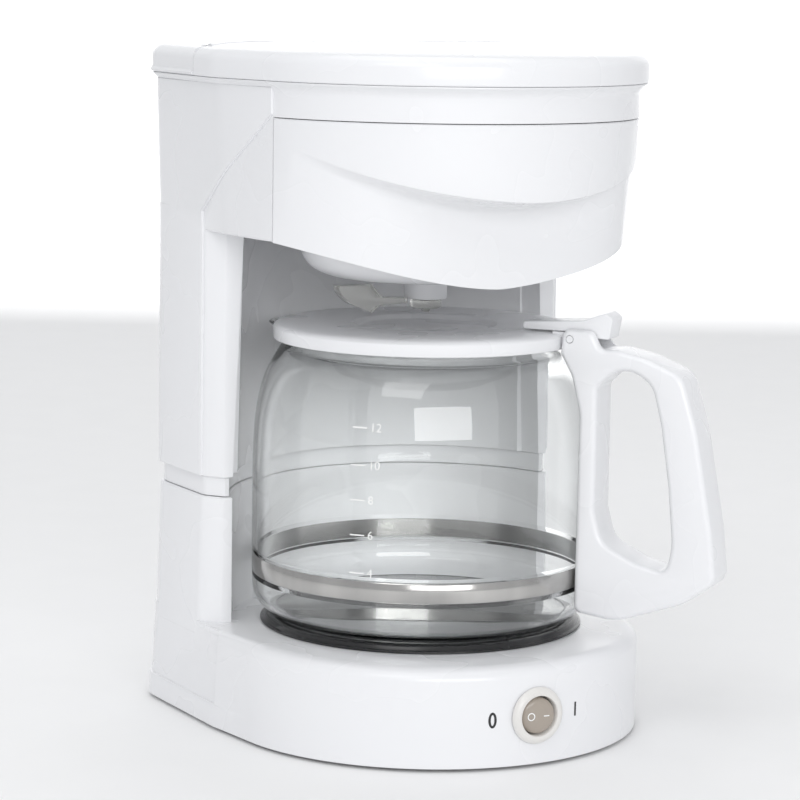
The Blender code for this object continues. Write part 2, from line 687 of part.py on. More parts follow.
def shower_plate():
    """Perforated plate that spreads the hot water over the basket."""
    inset = WALL + 0.0026
    low, high = 0.2800, 0.2818
    outline = front_arc(HEAD_HALF - inset, HEAD_FRONT - inset, HEAD_RADIUS - inset, 0.0140)
    outline = outline + [(HEAD_HALF - inset, 0.0300), (-HEAD_HALF + inset, 0.0300)]
    plate = part("shower_plate", loft("shower_plate", [(low, outline), (high, outline)]), WHITE)
    holes = [cylinder("jet", (r * cos(a), r * sin(a), low - 0.002),
                      (r * cos(a), r * sin(a), high + 0.002), 0.0016, 8)
             for r, count in ((0.008, 4), (0.016, 8)) for a in [2 * pi * i / count
                                                                for i in range(count)]]
    return cut(plate, merged("jets", holes))


def fill_chute():
    """Open channel under the lid that leads poured water back into the tank."""
    middle, half, top, wall = -0.0680, 0.0180, 0.2920, 0.0016
    body = loft_side_prism([(-0.0120, 0.2821), (0.0290, 0.2821), (0.0300, 0.2834),
                            (0.0400, 0.2834), (0.0400, top), (-0.0120, top)], half)
    channel = loft_side_prism([(-0.0120 + wall, 0.2876), (0.0410, 0.2850), (0.0410, 0.3000),
                               (-0.0120 + wall, 0.3000)], half - wall)
    relief = loft_side_prism([(-0.0120 + wall, 0.2800), (0.0274, 0.2800), (0.0274, 0.2838),
                              (-0.0120 + wall, 0.2858)], half - wall)
    shift = Matrix.Translation((middle, 0.0, 0.0))
    chute = part("fill_chute", placed(body, shift), WHITE)
    return cut(chute, placed(channel, shift), placed(relief, shift))


# ---------------------------------------------------------------- top lid
def rim_outline(inset=0.0):
    return plan_outline(inset, half=RIM_HALF, front=RIM_FRONT, radius=RIM_RADIUS,
                        rear=REAR_Y + 0.0010, corner=RIM_REAR_CORNER,
                        rear_half=RIM_REAR_HALF)


def rim_body(name, ridge=0.0):
    """Full-depth cover, hollow below; lid and rear deck are cut from it."""
    solid = [(RIM_BOTTOM, rim_outline()), (RIM_BOTTOM + 0.0012, rim_outline(-ridge)),
             (RIM_BOTTOM + 0.0026, rim_outline()), (RIM_SHOULDER, rim_outline()),
             (RIM_TOP - 0.0012, rim_outline(0.0018)), (RIM_TOP, rim_outline(0.0036)),
             (0.3070, rim_outline(0.0110)), (0.3080, rim_outline(0.0240)),
             (LID_CROWN, rim_outline(0.0420))]
    hollow = [(RIM_BOTTOM - 0.005, rim_outline(0.0024)), (RIM_SHOULDER, rim_outline(0.0024)),
              (0.3040, rim_outline(0.0080)), (0.3058, rim_outline(0.0240))]
    return loft(name, solid), loft("rim_hollow", hollow)


def hinge_knuckle(low_x, high_x):
    return cylinder("knuckle", (low_x, LID_SPLIT, LID_AXIS_Z), (high_x, LID_SPLIT, LID_AXIS_Z),
                    KNUCKLE_RADIUS, 16)


def hinge_bore():
    return cylinder("bore", (-0.0860, LID_SPLIT, LID_AXIS_Z), (0.0860, LID_SPLIT, LID_AXIS_Z),
                    0.0014, 12)


def hinge_trough():
    """Channel between the side walls of the cover, wider at the rear for the lid's swing."""
    return box("trough", (-TROUGH_HALF, LID_SPLIT - 0.0040, 0.3005),
               (TROUGH_HALF, LID_SPLIT + 0.0052, 0.320))


LID_KNUCKLES = ((-0.0700, -0.0300), (0.0300, 0.0700))
DECK_KNUCKLES = ((-0.0925, -0.0704), (-0.0296, 0.0296), (0.0704, 0.0925))


def knuckle_arms(spans, direction):
    """Webs that carry the knuckles from the cover's edge."""
    near = LID_SPLIT + direction * 0.0010
    far = LID_SPLIT + direction * 0.0090
    low_y, high_y = min(near, far), max(near, far)
    return [box("arm", (a, low_y, LID_AXIS_Z - 0.0010), (b, high_y, LID_AXIS_Z + 0.0026))
            for a, b in spans]


def top_lid(pivot):
    solid, hollow = rim_body("top_lid")
    lid = part("top_lid", solid, WHITE, pivot)
    cut(lid, hollow, box("rear_part", (-0.120, LID_SPLIT - GAP / 2, 0.280),
                         (0.120, 0.120, 0.330)), hinge_trough())
    for (a, b), arm in zip(LID_KNUCKLES, knuckle_arms(LID_KNUCKLES, -1)):
        join(lid, arm, hinge_knuckle(a, b))
    return cut(lid, hinge_bore())


def rear_deck():
    """Fixed rear part of the rim that carries the lid's hinge."""
    solid, hollow = rim_body("rear_deck", DECK_RIDGE)
    deck = part("rear_deck", solid, WHITE)
    swing_gap = box("swing_gap", (-0.1200, LID_SPLIT, 0.3037), (0.1200, LID_SPLIT + 0.0028, 0.320))
    cut(deck, hollow, box("front_part", (-0.120, -0.120, 0.280),
                          (0.120, LID_SPLIT + GAP / 2, 0.330)), hinge_trough(), swing_gap)
    for (a, b), arm in zip(DECK_KNUCKLES, knuckle_arms(DECK_KNUCKLES, 1)):
        join(deck, arm, hinge_knuckle(a, b))
    return cut(deck, hinge_bore())


def lid_hinge_pins():
    """Two short pins, each through one pair of knuckles."""
    for name, side in (("lid_hinge_pin_left", -1), ("lid_hinge_pin_right", 1)):
        pin = cylinder("pin", (side * 0.0200, LID_SPLIT, LID_AXIS_Z),
                       (side * 0.0850, LID_SPLIT, LID_AXIS_Z), 0.0011, 12)
        part(name, pin, STEEL)


# ---------------------------------------------------------------- brew drawer
def lip_height(angle):
    """Height of the finger lip, lowest in the middle and rising to both sides."""
    return LIP_LOW + LIP_RISE * min(1.0, abs(angle) / radians(70.0)) ** 1.7


def chin(angle):
    """Bottom edge of the drawer front: pulled back and dipped in the middle."""
    u = abs(sin(angle) / sin(DRAWER_SWEEP))
    end_x = HEAD_RADIUS * sin(DRAWER_SWEEP)
    end_y = HEAD_RADIUS - HEAD_FRONT - HEAD_RADIUS * cos(DRAWER_SWEEP)
    z = CHIN_END - (CHIN_END - CHIN_LOW) * (1 - u ** 1.53)
    y = end_y - CHIN_DEPTH * (1 - u ** 4.7)
    x = end_x * sin(angle) / sin(DRAWER_SWEEP)
    return Vector((x, y, z))


def drawer_front_rows(angle):
    """Points down the outside of the drawer front at one angle round the axis."""
    centre_y = HEAD_RADIUS - HEAD_FRONT
    lip_z = lip_height(angle)
    fade = max(0.0, 1.0 - (abs(angle) / radians(72.0)) ** 3)

    def on_arc(radius, z):
        return Vector((radius * sin(angle), centre_y - radius * cos(angle), z))

    low = chin(angle)
    draft = 0.0014 * fade
    rows = [on_arc(HEAD_RADIUS, DRAWER_TOP), on_arc(HEAD_RADIUS - draft, lip_z + 0.0012),
            on_arc(HEAD_RADIUS - draft - 0.0006 * fade, lip_z)]
    under = Vector((low.x, low.y - 0.0030 * fade, 0.0))
    for share, drop in ((0.55, 0.0004), (0.85, 0.0022), (1.0, 0.0070)):
        point = rows[2].lerp(under, share * fade)
        point.z = lip_z - max(drop * fade, 0.0002 + drop * 0.4)
        rows.append(point)
    for share in (0.5, 1.0):
        rows.append(rows[5].lerp(low, share))
    return rows


def drawer_front(pivot):
    steps = 32
    sweep = DRAWER_SWEEP
    columns = [drawer_front_rows(-sweep + 2 * sweep * i / steps) for i in range(steps + 1)]
    bm = bmesh.new()
    grid = [[bm.verts.new(p) for p in rows] for rows in columns]
    for left, right in zip(grid, grid[1:]):
        for k in range(len(left) - 1):
            bm.faces.new((left[k + 1], right[k + 1], right[k], left[k]))
    mesh = bpy.data.meshes.new("drawer_front")
    bm.to_mesh(mesh)
    bm.free()
    front = part("drawer_front", mesh, WHITE, pivot)
    skin = front.modifiers.new("thickness", "SOLIDIFY")
    skin.thickness = 0.0022
    skin.offset = -1.0
    skin.use_even_offset = True
    return cut(front, box("behind_seam", (-0.110, DRAWER_SEAM_Y, 0.190), (0.110, 0.060, 0.290)))


def drawer_tray(pivot):
    """Frame that slides on the head's rails and holds the basket by its flange."""
    radius = HEAD_RADIUS - 0.0040
    centre_y = HEAD_RADIUS - HEAD_FRONT
    outline = arc(0.0, centre_y, radius, -pi / 2 - 1.15, -pi / 2 + 1.15, 24)
    outline = outline + [(0.0862, -0.0180), (0.0862, 0.0280), (0.0560, 0.0280),
                         (-0.0560, 0.0280), (-0.0862, 0.0280), (-0.0862, -0.0180)]
    tray = part("drawer_tray", loft("drawer_tray", [(TRAY_Z, outline), (TRAY_Z + 0.0024, outline)]),
                WHITE, pivot)
    return cut(tray, cylinder("basket_hole", (0, 0, 0.250), (0, 0, 0.270), 0.0582, 40))


def filter_basket(pivot):
    """Bowl for the paper filter, with a drain hole in its floor."""
    outer, wall = BASKET_RADIUS, 0.0016
    z = BASKET_BOTTOM
    profile = [(outer, 0.2690), (outer, BASKET_FLANGE_Z + 0.0018), (0.0606, BASKET_FLANGE_Z + 0.0018),
               (0.0606, BASKET_FLANGE_Z), (outer, BASKET_FLANGE_Z), (outer, 0.2180),
               (outer - 0.0012, 0.2125), (outer - 0.0048, 0.2080), (outer - 0.0120, z + 0.0008),
               (outer - 0.0200, z), (0.0040, z), (0.0040, z + wall),
               (outer - 0.0205, z + wall), (outer - 0.0128, z + wall + 0.0008),
               (outer - 0.0062, 0.2090), (outer - wall - 0.0010, 0.2130),
               (outer - wall, 0.2182), (outer - wall, 0.2690)]
    basket = turned("filter_basket", profile, 30, ring=True)
    return part("filter_basket", basket, WHITE, pivot)


def drip_collar(pivot):
    """Short white spout under the basket."""
    top = BASKET_BOTTOM - GAP
    profile = [(0.0112, top), (0.0112, top - 0.0020), (0.0098, top - 0.0030), (0.0096, 0.1938),
               (0.0080, 0.1938), (0.0080, top)]
    return part("drip_collar", turned("drip_collar", profile, 24, ring=True), WHITE, pivot)


def drip_valve(pivot):
    """Spring-loaded stopper; the carafe's lid pushes it up."""
    z = BASKET_BOTTOM
    profile = [(0.0, z + 0.0052), (0.0060, z + 0.0048), (0.0062, z + 0.0024), (0.0030, z + 0.0022),
               (0.0026, z + 0.0016), (0.0026, 0.1942), (0.0072, 0.1932), (0.0073, 0.1910),
               (0.0058, 0.1893), (0.0018, 0.1890), (0.0016, 0.1876), (0.0, 0.1876)]
    return part("drip_valve", turned("drip_valve", profile, 24), CLEAR, pivot)


def drip_lever(pivot):
    """Curved arm beside the spout that lifts together with the stopper."""
    top = [(-0.0447, 0.2027), (-0.0421, 0.1982), (-0.0366, 0.1945), (-0.0257, 0.1948),
           (-0.0110, 0.1946)]
    bottom = [(-0.0110, 0.1922), (-0.0257, 0.1918), (-0.0283, 0.1880), (-0.0320, 0.1900),
              (-0.0380, 0.1924), (-0.0440, 0.1970), (-0.0463, 0.2020)]
    outline = top + bottom
    bm = bmesh.new()
    near = [bm.verts.new((x, -0.0030, z)) for x, z in outline]
    far = [bm.verts.new((x, 0.0030, z)) for x, z in outline]
    for i, (a, b) in enumerate(zip(near, far)):
        bm.faces.new((a, near[i - 1], far[i - 1], b))
    bm.faces.new(near)
    bm.faces.new(far[::-1])
    return part("drip_lever", mesh_from_bmesh("drip_lever", bm), CLEAR, pivot)


def drip_spring(pivot):
    """Coil round the valve stem, inside the collar."""
    turns, per_turn, radius = 3, 9, 0.0052
    low, high = 0.1956, 0.2020
    steps = turns * per_turn
    route = [(radius * cos(2 * pi * i / per_turn), radius * sin(2 * pi * i / per_turn),
              low + (high - low) * i / steps) for i in range(steps + 1)]
    return part("drip_spring", tube("drip_spring", route, 0.0005, per_span=1, resolution=1), STEEL, pivot)


# ---------------------------------------------------------------- carafe
def carafe_profile():
    """Outside of the glass from the mouth down to the middle of the foot."""
    groove = 0.0012
    return [(0.0590, 0.1795), (0.0582, 0.1745), (0.0596, 0.1722), (0.0640, 0.1700),
            (0.0690, 0.1655), (0.0725, 0.1590), (0.0752, 0.1500), (0.0772, 0.1370),
            (GLASS_RADIUS, 0.1200), (GLASS_RADIUS, BAND_HIGH + 0.0022), (GLASS_RADIUS - groove, BAND_HIGH + 0.0004),
            (GLASS_RADIUS - groove, BAND_LOW - 0.0004), (GLASS_RADIUS - 0.0002, BAND_LOW - 0.0020),
            (0.0774, 0.0600), (0.0756, 0.0555), (0.0720, 0.0515), (0.0670, GLASS_FOOT),
            (0.0, GLASS_FOOT)]


def inner_profile(outer, wall):
    """The same line moved inwards by the wall thickness."""
    points = [Vector(p) for p in outer]
    moved = []
    for before, here, after in zip(points, points[1:], points[2:]):
        along = (after - before).normalized()
        normal = Vector((along.y, -along.x))
        moved.append(here + normal * wall)
    first = Vector((points[0].x - wall, points[0].y))
    last = Vector((0.0, points[-1].y + wall))
    return [first] + moved + [last]


def pull_spout(mesh):
    """Draw the mouth out into a pouring lip, opposite the handle."""
    way = Vector((-sin(HANDLE_ANGLE), cos(HANDLE_ANGLE), 0.0))
    for vertex in mesh.vertices:
        flat = Vector((vertex.co.x, vertex.co.y, 0.0))
        if flat.length < 0.040 or vertex.co.z < 0.1640:
            continue
        near = max(0.0, flat.normalized().dot(way) - cos(radians(34))) / (1 - cos(radians(34)))
        high = min(1.0, (vertex.co.z - 0.1640) / 0.0150)
        vertex.co += way * (0.0165 * near ** 1.3 * high ** 1.6)
    return mesh


def carafe_glass(pivot):
    outer = carafe_profile()
    plain = [p for p in outer if not (BAND_LOW - 0.001 < p[1] < BAND_HIGH + 0.001)]
    inner = [tuple(p) for p in inner_profile(plain, GLASS_WALL)]
    profile = [inner[-1]] + inner[-2::-1] + outer
    mesh = turned("carafe_glass", profile, 40)
    return part("carafe_glass", pull_spout(mesh), GLASS, pivot)


def carafe_band(pivot):
    """Steel band in the groove of the glass."""
    inner = GLASS_RADIUS - 0.0012 + GAP
    profile = [(inner + 0.0008, BAND_HIGH), (inner + 0.0008, BAND_LOW), (inner, BAND_LOW),
               (inner, BAND_HIGH)]
    return part("carafe_band", turned("carafe_band", profile, 40, ring=True), STEEL, pivot)


def handle_frame():
    """Matrix from handle coordinates (radial, sideways, up) to the machine's."""
    out = Vector((sin(HANDLE_ANGLE), -cos(HANDLE_ANGLE), 0.0))
    side = Vector((cos(HANDLE_ANGLE), sin(HANDLE_ANGLE), 0.0))
    return Matrix(((out.x, side.x, 0, 0), (out.y, side.y, 0, 0), (0, 0, 1, 0), (0, 0, 0, 1)))


def side_plate(name, outline, half_width, centre=0.0, bevel=0.0, segments=2):
    """Plate cut to an outline in the handle's (radial, z) plane, with softened edges."""
    bm = bmesh.new()
    near = [bm.verts.new((r, centre - half_width, z)) for r, z in outline]
    far = [bm.verts.new((r, centre + half_width, z)) for r, z in outline]
    count = len(outline)
    for i in range(count):
        j = (i + 1) % count
        bm.faces.new((near[i], near[j], far[j], far[i]))
    front, back = bm.faces.new(near[::-1]), bm.faces.new(far)
    if bevel:
        edges = list(front.edges) + list(back.edges)
        bmesh.ops.bevel(bm, geom=edges, offset=bevel, segments=segments, affect="EDGES",
                        profile=0.6, clamp_overlap=True)
    bmesh.ops.transform(bm, matrix=handle_frame(), verts=bm.verts)
    return mesh_from_bmesh(name, bm)


def rounded(points, per_corner=4):
    """Polygon whose corners, given as (r, z, radius), are replaced by arcs."""
    out = []
    count = len(points)
    for i, (r, z, radius) in enumerate(points):
        here = Vector((r, z))
        if radius <= 0:
            out.append((r, z))
            continue
        before = (Vector(points[i - 1][:2]) - here).normalized()
        after = (Vector(points[(i + 1) % count][:2]) - here).normalized()
        half_angle = before.angle(after) / 2
        middle = here + (before + after).normalized() * radius / sin(half_angle)
        start = here + before * radius * cos(half_angle) / sin(half_angle) - middle
        end = here + after * radius * cos(half_angle) / sin(half_angle) - middle
        turn = start.angle_signed(end)
        for k in range(per_corner + 1):
            step = start.copy()
            step.rotate(Matrix.Rotation(-turn * k / per_corner, 2))
            out.append(tuple(middle + step))
    return out


def carafe_handle(pivot):
    """Moulded strap, grip and hinge ears in one piece."""
    outer = rounded([
        (0.0788, 0.0578, 0.004), (0.0980, 0.0552, 0.03), (0.1280, 0.0662, 0.03),
        (0.1405, 0.0752, 0.003), (0.1420, 0.0790, 0.003), (0.1398, 0.0985, 0.08),
        (0.1312, 0.1430, 0.08), (0.1238, 0.1672, 0.010), (0.1085, 0.1742, 0.03),
        (0.0960, 0.1768, 0.012), (0.0880, 0.1765, 0.004), (0.0838, 0.1846, 0.0035),
        (0.0700, 0.1850, 0.0035), (0.0690, 0.1740, 0.0030), (0.0745, 0.1640, 0.010),
        (0.0789, 0.1480, 0.020)])
    window = rounded([
        (0.0866, 0.1600, 0.004), (0.0868, 0.1400, 0.05), (0.0868, 0.1040, 0.012),
        (0.0905, 0.0900, 0.012), (0.1060, 0.0826, 0.020), (0.1195, 0.0792, 0.004),
        (0.1222, 0.0900, 0.03), (0.1195, 0.1180, 0.08), (0.1152, 0.1450, 0.05),
        (0.1120, 0.1625, 0.012), (0.0985, 0.1708, 0.012)])
    body = side_plate("carafe_handle", outer, HANDLE_HALF_WIDTH, bevel=0.0022)
    handle = part("carafe_handle", body, WHITE, pivot)
    cut(handle, side_plate("window", window, HANDLE_HALF_WIDTH + 0.004))
    slot = side_plate("lid_slot", [(0.060, 0.1768), (0.098, 0.1768), (0.098, 0.200),
                                   (0.060, 0.200)], 0.0076)
    cut(handle, slot,
        turned("glass_clearance", [(0.0, 0.1790), (0.0640, 0.1790), (0.0640, 0.1700)]
               + [(r + GAP, z) for r, z in carafe_profile()[4:-2]] + [(0.0, 0.0500)], 60),
        turned("band_clearance", [(0.0, BAND_HIGH + 0.0003),
                                  (GLASS_RADIUS + 0.0002, BAND_HIGH + 0.0003),
                                  (GLASS_RADIUS + 0.0002, BAND_LOW - 0.0003),
                                  (0.0, BAND_LOW - 0.0003)], 60),
        turned("lid_clearance", [(0.0, 0.1900), (LID_RADIUS + 0.0006, 0.1900),
                                 (LID_RADIUS + 0.0006, 0.1700), (0.0, 0.1700)], 60),
        lid_pin_body("pin_hole", 0.0018, 0.0120),
        band_screw_body("screw_hole", 0.0019))
    return handle


def lid_pin_body(name, radius, half_length):
    start = handle_frame() @ Vector((LID_PIN_RADIUS, -half_length, LID_PIN_Z))
    end = handle_frame() @ Vector((LID_PIN_RADIUS, half_length, LID_PIN_Z))
    return cylinder(name, start, end, radius, 16)


def band_screw_body(name, radius):
    z = (BAND_LOW + BAND_HIGH) / 2
    start = handle_frame() @ Vector((0.0782, 0.0, z))
    end = handle_frame() @ Vector((0.0970 + 2 * (radius - 0.0016), 0.0, z))
    return cylinder(name, start, end, radius, 12)


def carafe_lid(pivot):
    """Flat lid with a shallow dish, and a plug that locates in the mouth."""
    top = 0.1822
    z = LID_LOW
    profile = [(0.0, 0.1806), (0.0300, 0.1806), (0.0330, top + 0.0004), (0.0600, top + 0.0004),
               (0.0676, top - 0.0002), (LID_RADIUS, top - 0.0014), (LID_RADIUS, z + 0.0006),
               (LID_RADIUS - 0.0006, z), (0.0668, z), (0.0668, top - 0.0020),
               (0.0540, top - 0.0020), (0.0540, 0.1720), (0.0524, 0.1720),
               (0.0524, top - 0.0020), (0.0335, top - 0.0020), (0.0300, 0.1788), (0.0, 0.1788)]
    lid = part("carafe_lid", turned("carafe_lid", profile, 36), WHITE, pivot)
    lug = side_plate("lug", [(0.0640, 0.1776), (0.0780, 0.1776), (0.0780, 0.1832),
                             (0.0640, 0.1832)], 0.0070)
    join(lid, lug)
    spout_notch = placed(box("spout_notch", (-0.0900, -0.0260, 0.1700), (-0.0570, 0.0260, 0.1800)),
                         handle_frame())
    return cut(lid, spout_notch, lid_pin_body("pin_bore", 0.0018, 0.0120))


def lid_lever(pivot):
    """Thumb lever screwed on the lid: long flat foot and raised thumb pad."""
    outline = rounded([(0.0500, 0.1836, 0.001), (0.0814, 0.1836, 0.0), (0.0840, 0.1810, 0.0),
                       (0.0905, 0.1810, 0.001), (0.0920, 0.1902, 0.002), (0.0885, 0.1926, 0.002),
                       (0.0780, 0.1886, 0.004), (0.0500, 0.1868, 0.001)], 2)
    return part("lid_lever", side_plate("lid_lever", outline, 0.0070),
                WHITE, pivot)


def lid_pin():
    return part("carafe_lid_pin", lid_pin_body("carafe_lid_pin", 0.0016, 0.0110), WHITE,
                CARAFE)


def band_screw():
    z = (BAND_LOW + BAND_HIGH) / 2
    return part("band_screw", band_screw_body("band_screw", 0.0016), STEEL, CARAFE)


# ---------------------------------------------------------------- rocker switch
def facing_front(mesh, y, z=SWITCH_Z):
    """Turn a body drawn about +Z so that it faces the front."""
    return placed(mesh, Matrix.Translation((0.0, y, z)) @ Matrix.Rotation(pi / 2, 4, "X"))


def switch_bezel():
    profile = [(0.0088, 0.0026), (0.0110, 0.0024), (0.0126, 0.0008), (0.0126, 0.0003),
               (0.0104, 0.0003), (0.0104, -0.0080), (0.0088, -0.0080)]
    ring = turned("switch_bezel", profile, 28, ring=True)
    return part("switch_bezel", facing_front(ring, -BASE_FRONT), WHITE)


def switch_rocker(pivot):
    """Round button, tilted so that its left half is pressed in."""
    profile = [(0.0, 0.0024), (0.0056, 0.0022), (0.0076, 0.0014), (0.0080, 0.0004),
               (0.0076, -0.0036), (0.0, -0.0036)]
    button = facing_front(turned("switch_rocker", profile, 24), -BASE_FRONT)
    axis = Matrix.Translation(pivot.location)
    placed(button, axis @ Matrix.Rotation(ROCKER_TILT, 4, "Z") @ axis.inverted())
    return part("switch_rocker", button, SMOKE, pivot)


def switch_body():
    body = merged("switch_body", [
        cylinder("can", (0, -BASE_FRONT + 0.0084, SWITCH_Z), (0, -BASE_FRONT + 0.0240, SWITCH_Z),
                 0.0098, 24)])
    return part("switch_body", body, BLACK_PLASTIC)


def wiring():
    """One lead from the switch to the thermostat, one from the switch to the gland."""
    start_y = -BASE_FRONT + 0.0253
    wires = [
        [(-0.004, start_y, 0.020), (-0.010, -0.060, 0.018), (-0.030, -0.030, 0.020),
         (-0.026, 0.000, 0.0240), (-0.0205, 0.016, 0.0320), (-0.020, 0.020, 0.0350)],
        [(0.004, start_y, 0.020), (0.014, -0.060, 0.014), (0.032, -0.020, 0.012),
         (0.040, 0.040, 0.014), (0.045, 0.085, 0.022), (0.045, 0.0970, 0.024)]]
    for name, route in zip(("thermostat_wire", "mains_wire"), wires):
        part(name, tube(name, route, 0.0012, per_span=4, resolution=1), WIRE_RED)


# ---------------------------------------------------------------- assembly
CARAFE = empty("carafe_slide", (0.0, 0.0, 0.0500), MACHINE)
DRAWER = empty("drawer_slide", (0.0, 0.0, TRAY_Z), MACHINE)
VALVE = empty("valve_slide", (0.0, 0.0, 0.1900), MACHINE)
LID_HINGE = empty("top_lid_hinge", (0.0, LID_SPLIT, LID_AXIS_Z), MACHINE)
ROCKER = empty("rocker_pivot", (0.0, ROCKER_AXIS_Y, SWITCH_Z), MACHINE)
CARAFE_LID = empty("carafe_lid_hinge", handle_frame() @ Vector((LID_PIN_RADIUS, 0, LID_PIN_Z)),
                   MACHINE)

base_housing()
base_plate()
for number, (foot_x, foot_y) in enumerate(FOOT_PLACES, 1):
    rubber_foot(number, foot_x, foot_y)
base_screws()
housing_screws()
cord_gland()
warming_plate()
plate_seal()
heating_parts()
check_valve()
water_hoses()
spray_arm()
upper_housing()
water_tank()
shower_plate()
fill_chute()
top_lid(LID_HINGE)
rear_deck()
lid_hinge_pins()
drawer_front(DRAWER)
drawer_tray(DRAWER)
filter_basket(DRAWER)
drip_collar(DRAWER)
drip_valve(VALVE)
drip_spring(DRAWER)
drip_lever(VALVE)
carafe_glass(CARAFE)
carafe_band(CARAFE)
carafe_handle(CARAFE)
carafe_lid(CARAFE_LID)
lid_lever(CARAFE_LID)
lid_pin()
band_screw()
switch_bezel()
switch_rocker(ROCKER)
switch_body()
wiring()
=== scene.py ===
"""Looks of the drip coffee maker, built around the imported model.

Metres, +Z up, front towards -Y.  Shapes are drawn about the carafe's vertical axis, which
stands at AXIS_Y in the frame, and are moved there when each piece is made.
"""

import json
from math import asin, atan2, cos, hypot, pi, radians, sin

import bmesh
import bpy
from mathutils import Matrix, Vector


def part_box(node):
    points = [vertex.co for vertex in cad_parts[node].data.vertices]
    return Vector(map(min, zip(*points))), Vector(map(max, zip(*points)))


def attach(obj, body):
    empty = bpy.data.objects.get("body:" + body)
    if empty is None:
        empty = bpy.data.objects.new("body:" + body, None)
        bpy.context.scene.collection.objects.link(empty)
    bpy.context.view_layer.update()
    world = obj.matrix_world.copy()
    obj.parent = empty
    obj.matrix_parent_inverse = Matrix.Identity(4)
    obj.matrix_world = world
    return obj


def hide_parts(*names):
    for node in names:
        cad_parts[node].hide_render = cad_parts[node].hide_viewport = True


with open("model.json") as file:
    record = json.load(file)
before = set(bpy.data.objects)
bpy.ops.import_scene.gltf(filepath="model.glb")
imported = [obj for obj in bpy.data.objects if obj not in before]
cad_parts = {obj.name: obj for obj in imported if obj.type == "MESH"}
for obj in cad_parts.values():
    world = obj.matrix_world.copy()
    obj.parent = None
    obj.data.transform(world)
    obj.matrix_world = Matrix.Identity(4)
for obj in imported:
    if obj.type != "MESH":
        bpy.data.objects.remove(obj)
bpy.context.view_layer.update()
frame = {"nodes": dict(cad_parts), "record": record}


def span(node, axis):
    """Lowest and highest value of a CAD node along one axis."""
    low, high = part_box(node)
    return low[axis], high[axis]


def middle(node, axis):
    return sum(span(node, axis)) / 2


# ---------------------------------------------------------------- driving dimensions
AXIS_Y = middle("warming_plate", 1)
GAP = 0.0003
WALL = 0.0024

HOUSING_BOTTOM, SEAM_Z = span("base_housing", 2)
DECK_Z = span("warming_plate", 2)[1] - 0.0043
DRUM_SHOULDER = DECK_Z - 0.0055
SKIRT_TOP = 0.0118
SHELL_BOTTOM = SEAM_Z + 0.0094
HEAD_FLOOR = 0.2240
DRAWER_TOP = span("drawer_front", 2)[1] - 0.0001
HEAD_STEP = 0.2886
RIM_BOTTOM, LID_CROWN = span("top_lid", 2)
RIM_SHOULDER = RIM_BOTTOM + 0.0083
RIM_TOP = RIM_BOTTOM + 0.0124

BASE_HALF = 0.0985
BASE_FRONT = 0.1031
BASE_RADIUS = 0.0960
WALL_HALF = 0.0973
DECK_HALF = 0.0955
REAR_Y = 0.1000
REAR_CORNER = 0.0225
DECK_RIDGE = 0.0010
COLUMN_HALF = 0.0935
COLUMN_FRONT_HALF = 0.0870
COLUMN_FRONT = 0.0290
RIDGE_Y = 0.0385
RECESS_LOW = 0.0876
RECESS_HIGH = 0.0830
SHELL_PROUD = 0.0012
HEAD_HALF = 0.0968
HEAD_HALF_LOW = 0.0930
HEAD_RADIUS = 0.0914
HEAD_FRONT = 0.0970
SHOULDER_Y = 0.0145
RIM_HALF = span("top_lid", 0)[1]
RIM_RADIUS = 0.0949
RIM_FRONT = 0.1014
LID_SPLIT = middle("lid_hinge_pin_left", 1) - AXIS_Y
LID_AXIS_Z = middle("lid_hinge_pin_left", 2)
KNUCKLE_RADIUS = 0.0034

DRAWER_SWEEP = radians(79.0)
DRAWER_SEAM_Y = -0.0228
LIP_LOW = 0.2438
LIP_RISE = 0.0203
CHIN_LOW = 0.2041
CHIN_END = 0.2237
CHIN_DEPTH = 0.0410
BASKET_RADIUS = 0.0570
BASKET_BOTTOM = span("filter_basket", 2)[0]
BASKET_FLANGE_Z = 0.2627

PLATE_TOP = DECK_Z + 0.0035
GLASS_RADIUS = 0.0780
GLASS_WALL = 0.0022
BAND_GROOVE = 0.0012
GLASS_FOOT = PLATE_TOP + GAP
BAND_LOW, BAND_HIGH = span("carafe_band", 2)
LID_RADIUS = 0.0690
LID_LOW = 0.1752
HANDLE_ANGLE = radians(38.0)
HANDLE_HALF_WIDTH = 0.0110
LID_PIN_RADIUS = 0.0735
LID_PIN_Z = middle("carafe_lid_pin", 2)

SWITCH_Z = middle("switch_bezel", 2)
SWITCH_HOLE = 0.0108
WELL_RADIUS = 0.0702        # opening in the deck under the warming plate
SLOT_RADIUS = 0.0620        # opening in the head's floor round the basket
PIN_BORE = 0.0018
ROCKER_AXIS_Y = -0.1021
ROCKER_TILT = radians(-7.0)

ARC_STEPS = 96              # points round the front of base, head and rim
RECESS_STEPS = 64


# ---------------------------------------------------------------- materials
def node(tree, kind, **values):
    made = tree.nodes.new(kind)
    for key, value in values.items():
        if key in made.inputs:
            made.inputs[key].default_value = value
        else:
            setattr(made, key, value)
    return made


def surface(name, colour, roughness, metallic=0.0, **sockets):
    """A Principled material with its constant sockets set."""
    made = bpy.data.materials.new(name)
    made.use_nodes = True
    shader = made.node_tree.nodes["Principled BSDF"]
    shader.inputs["Base Color"].default_value = (*colour, 1.0)
    shader.inputs["Roughness"].default_value = roughness
    shader.inputs["Metallic"].default_value = metallic
    for socket, value in sockets.items():
        shader.inputs[socket.replace("_", " ")].default_value = value
    return made, shader


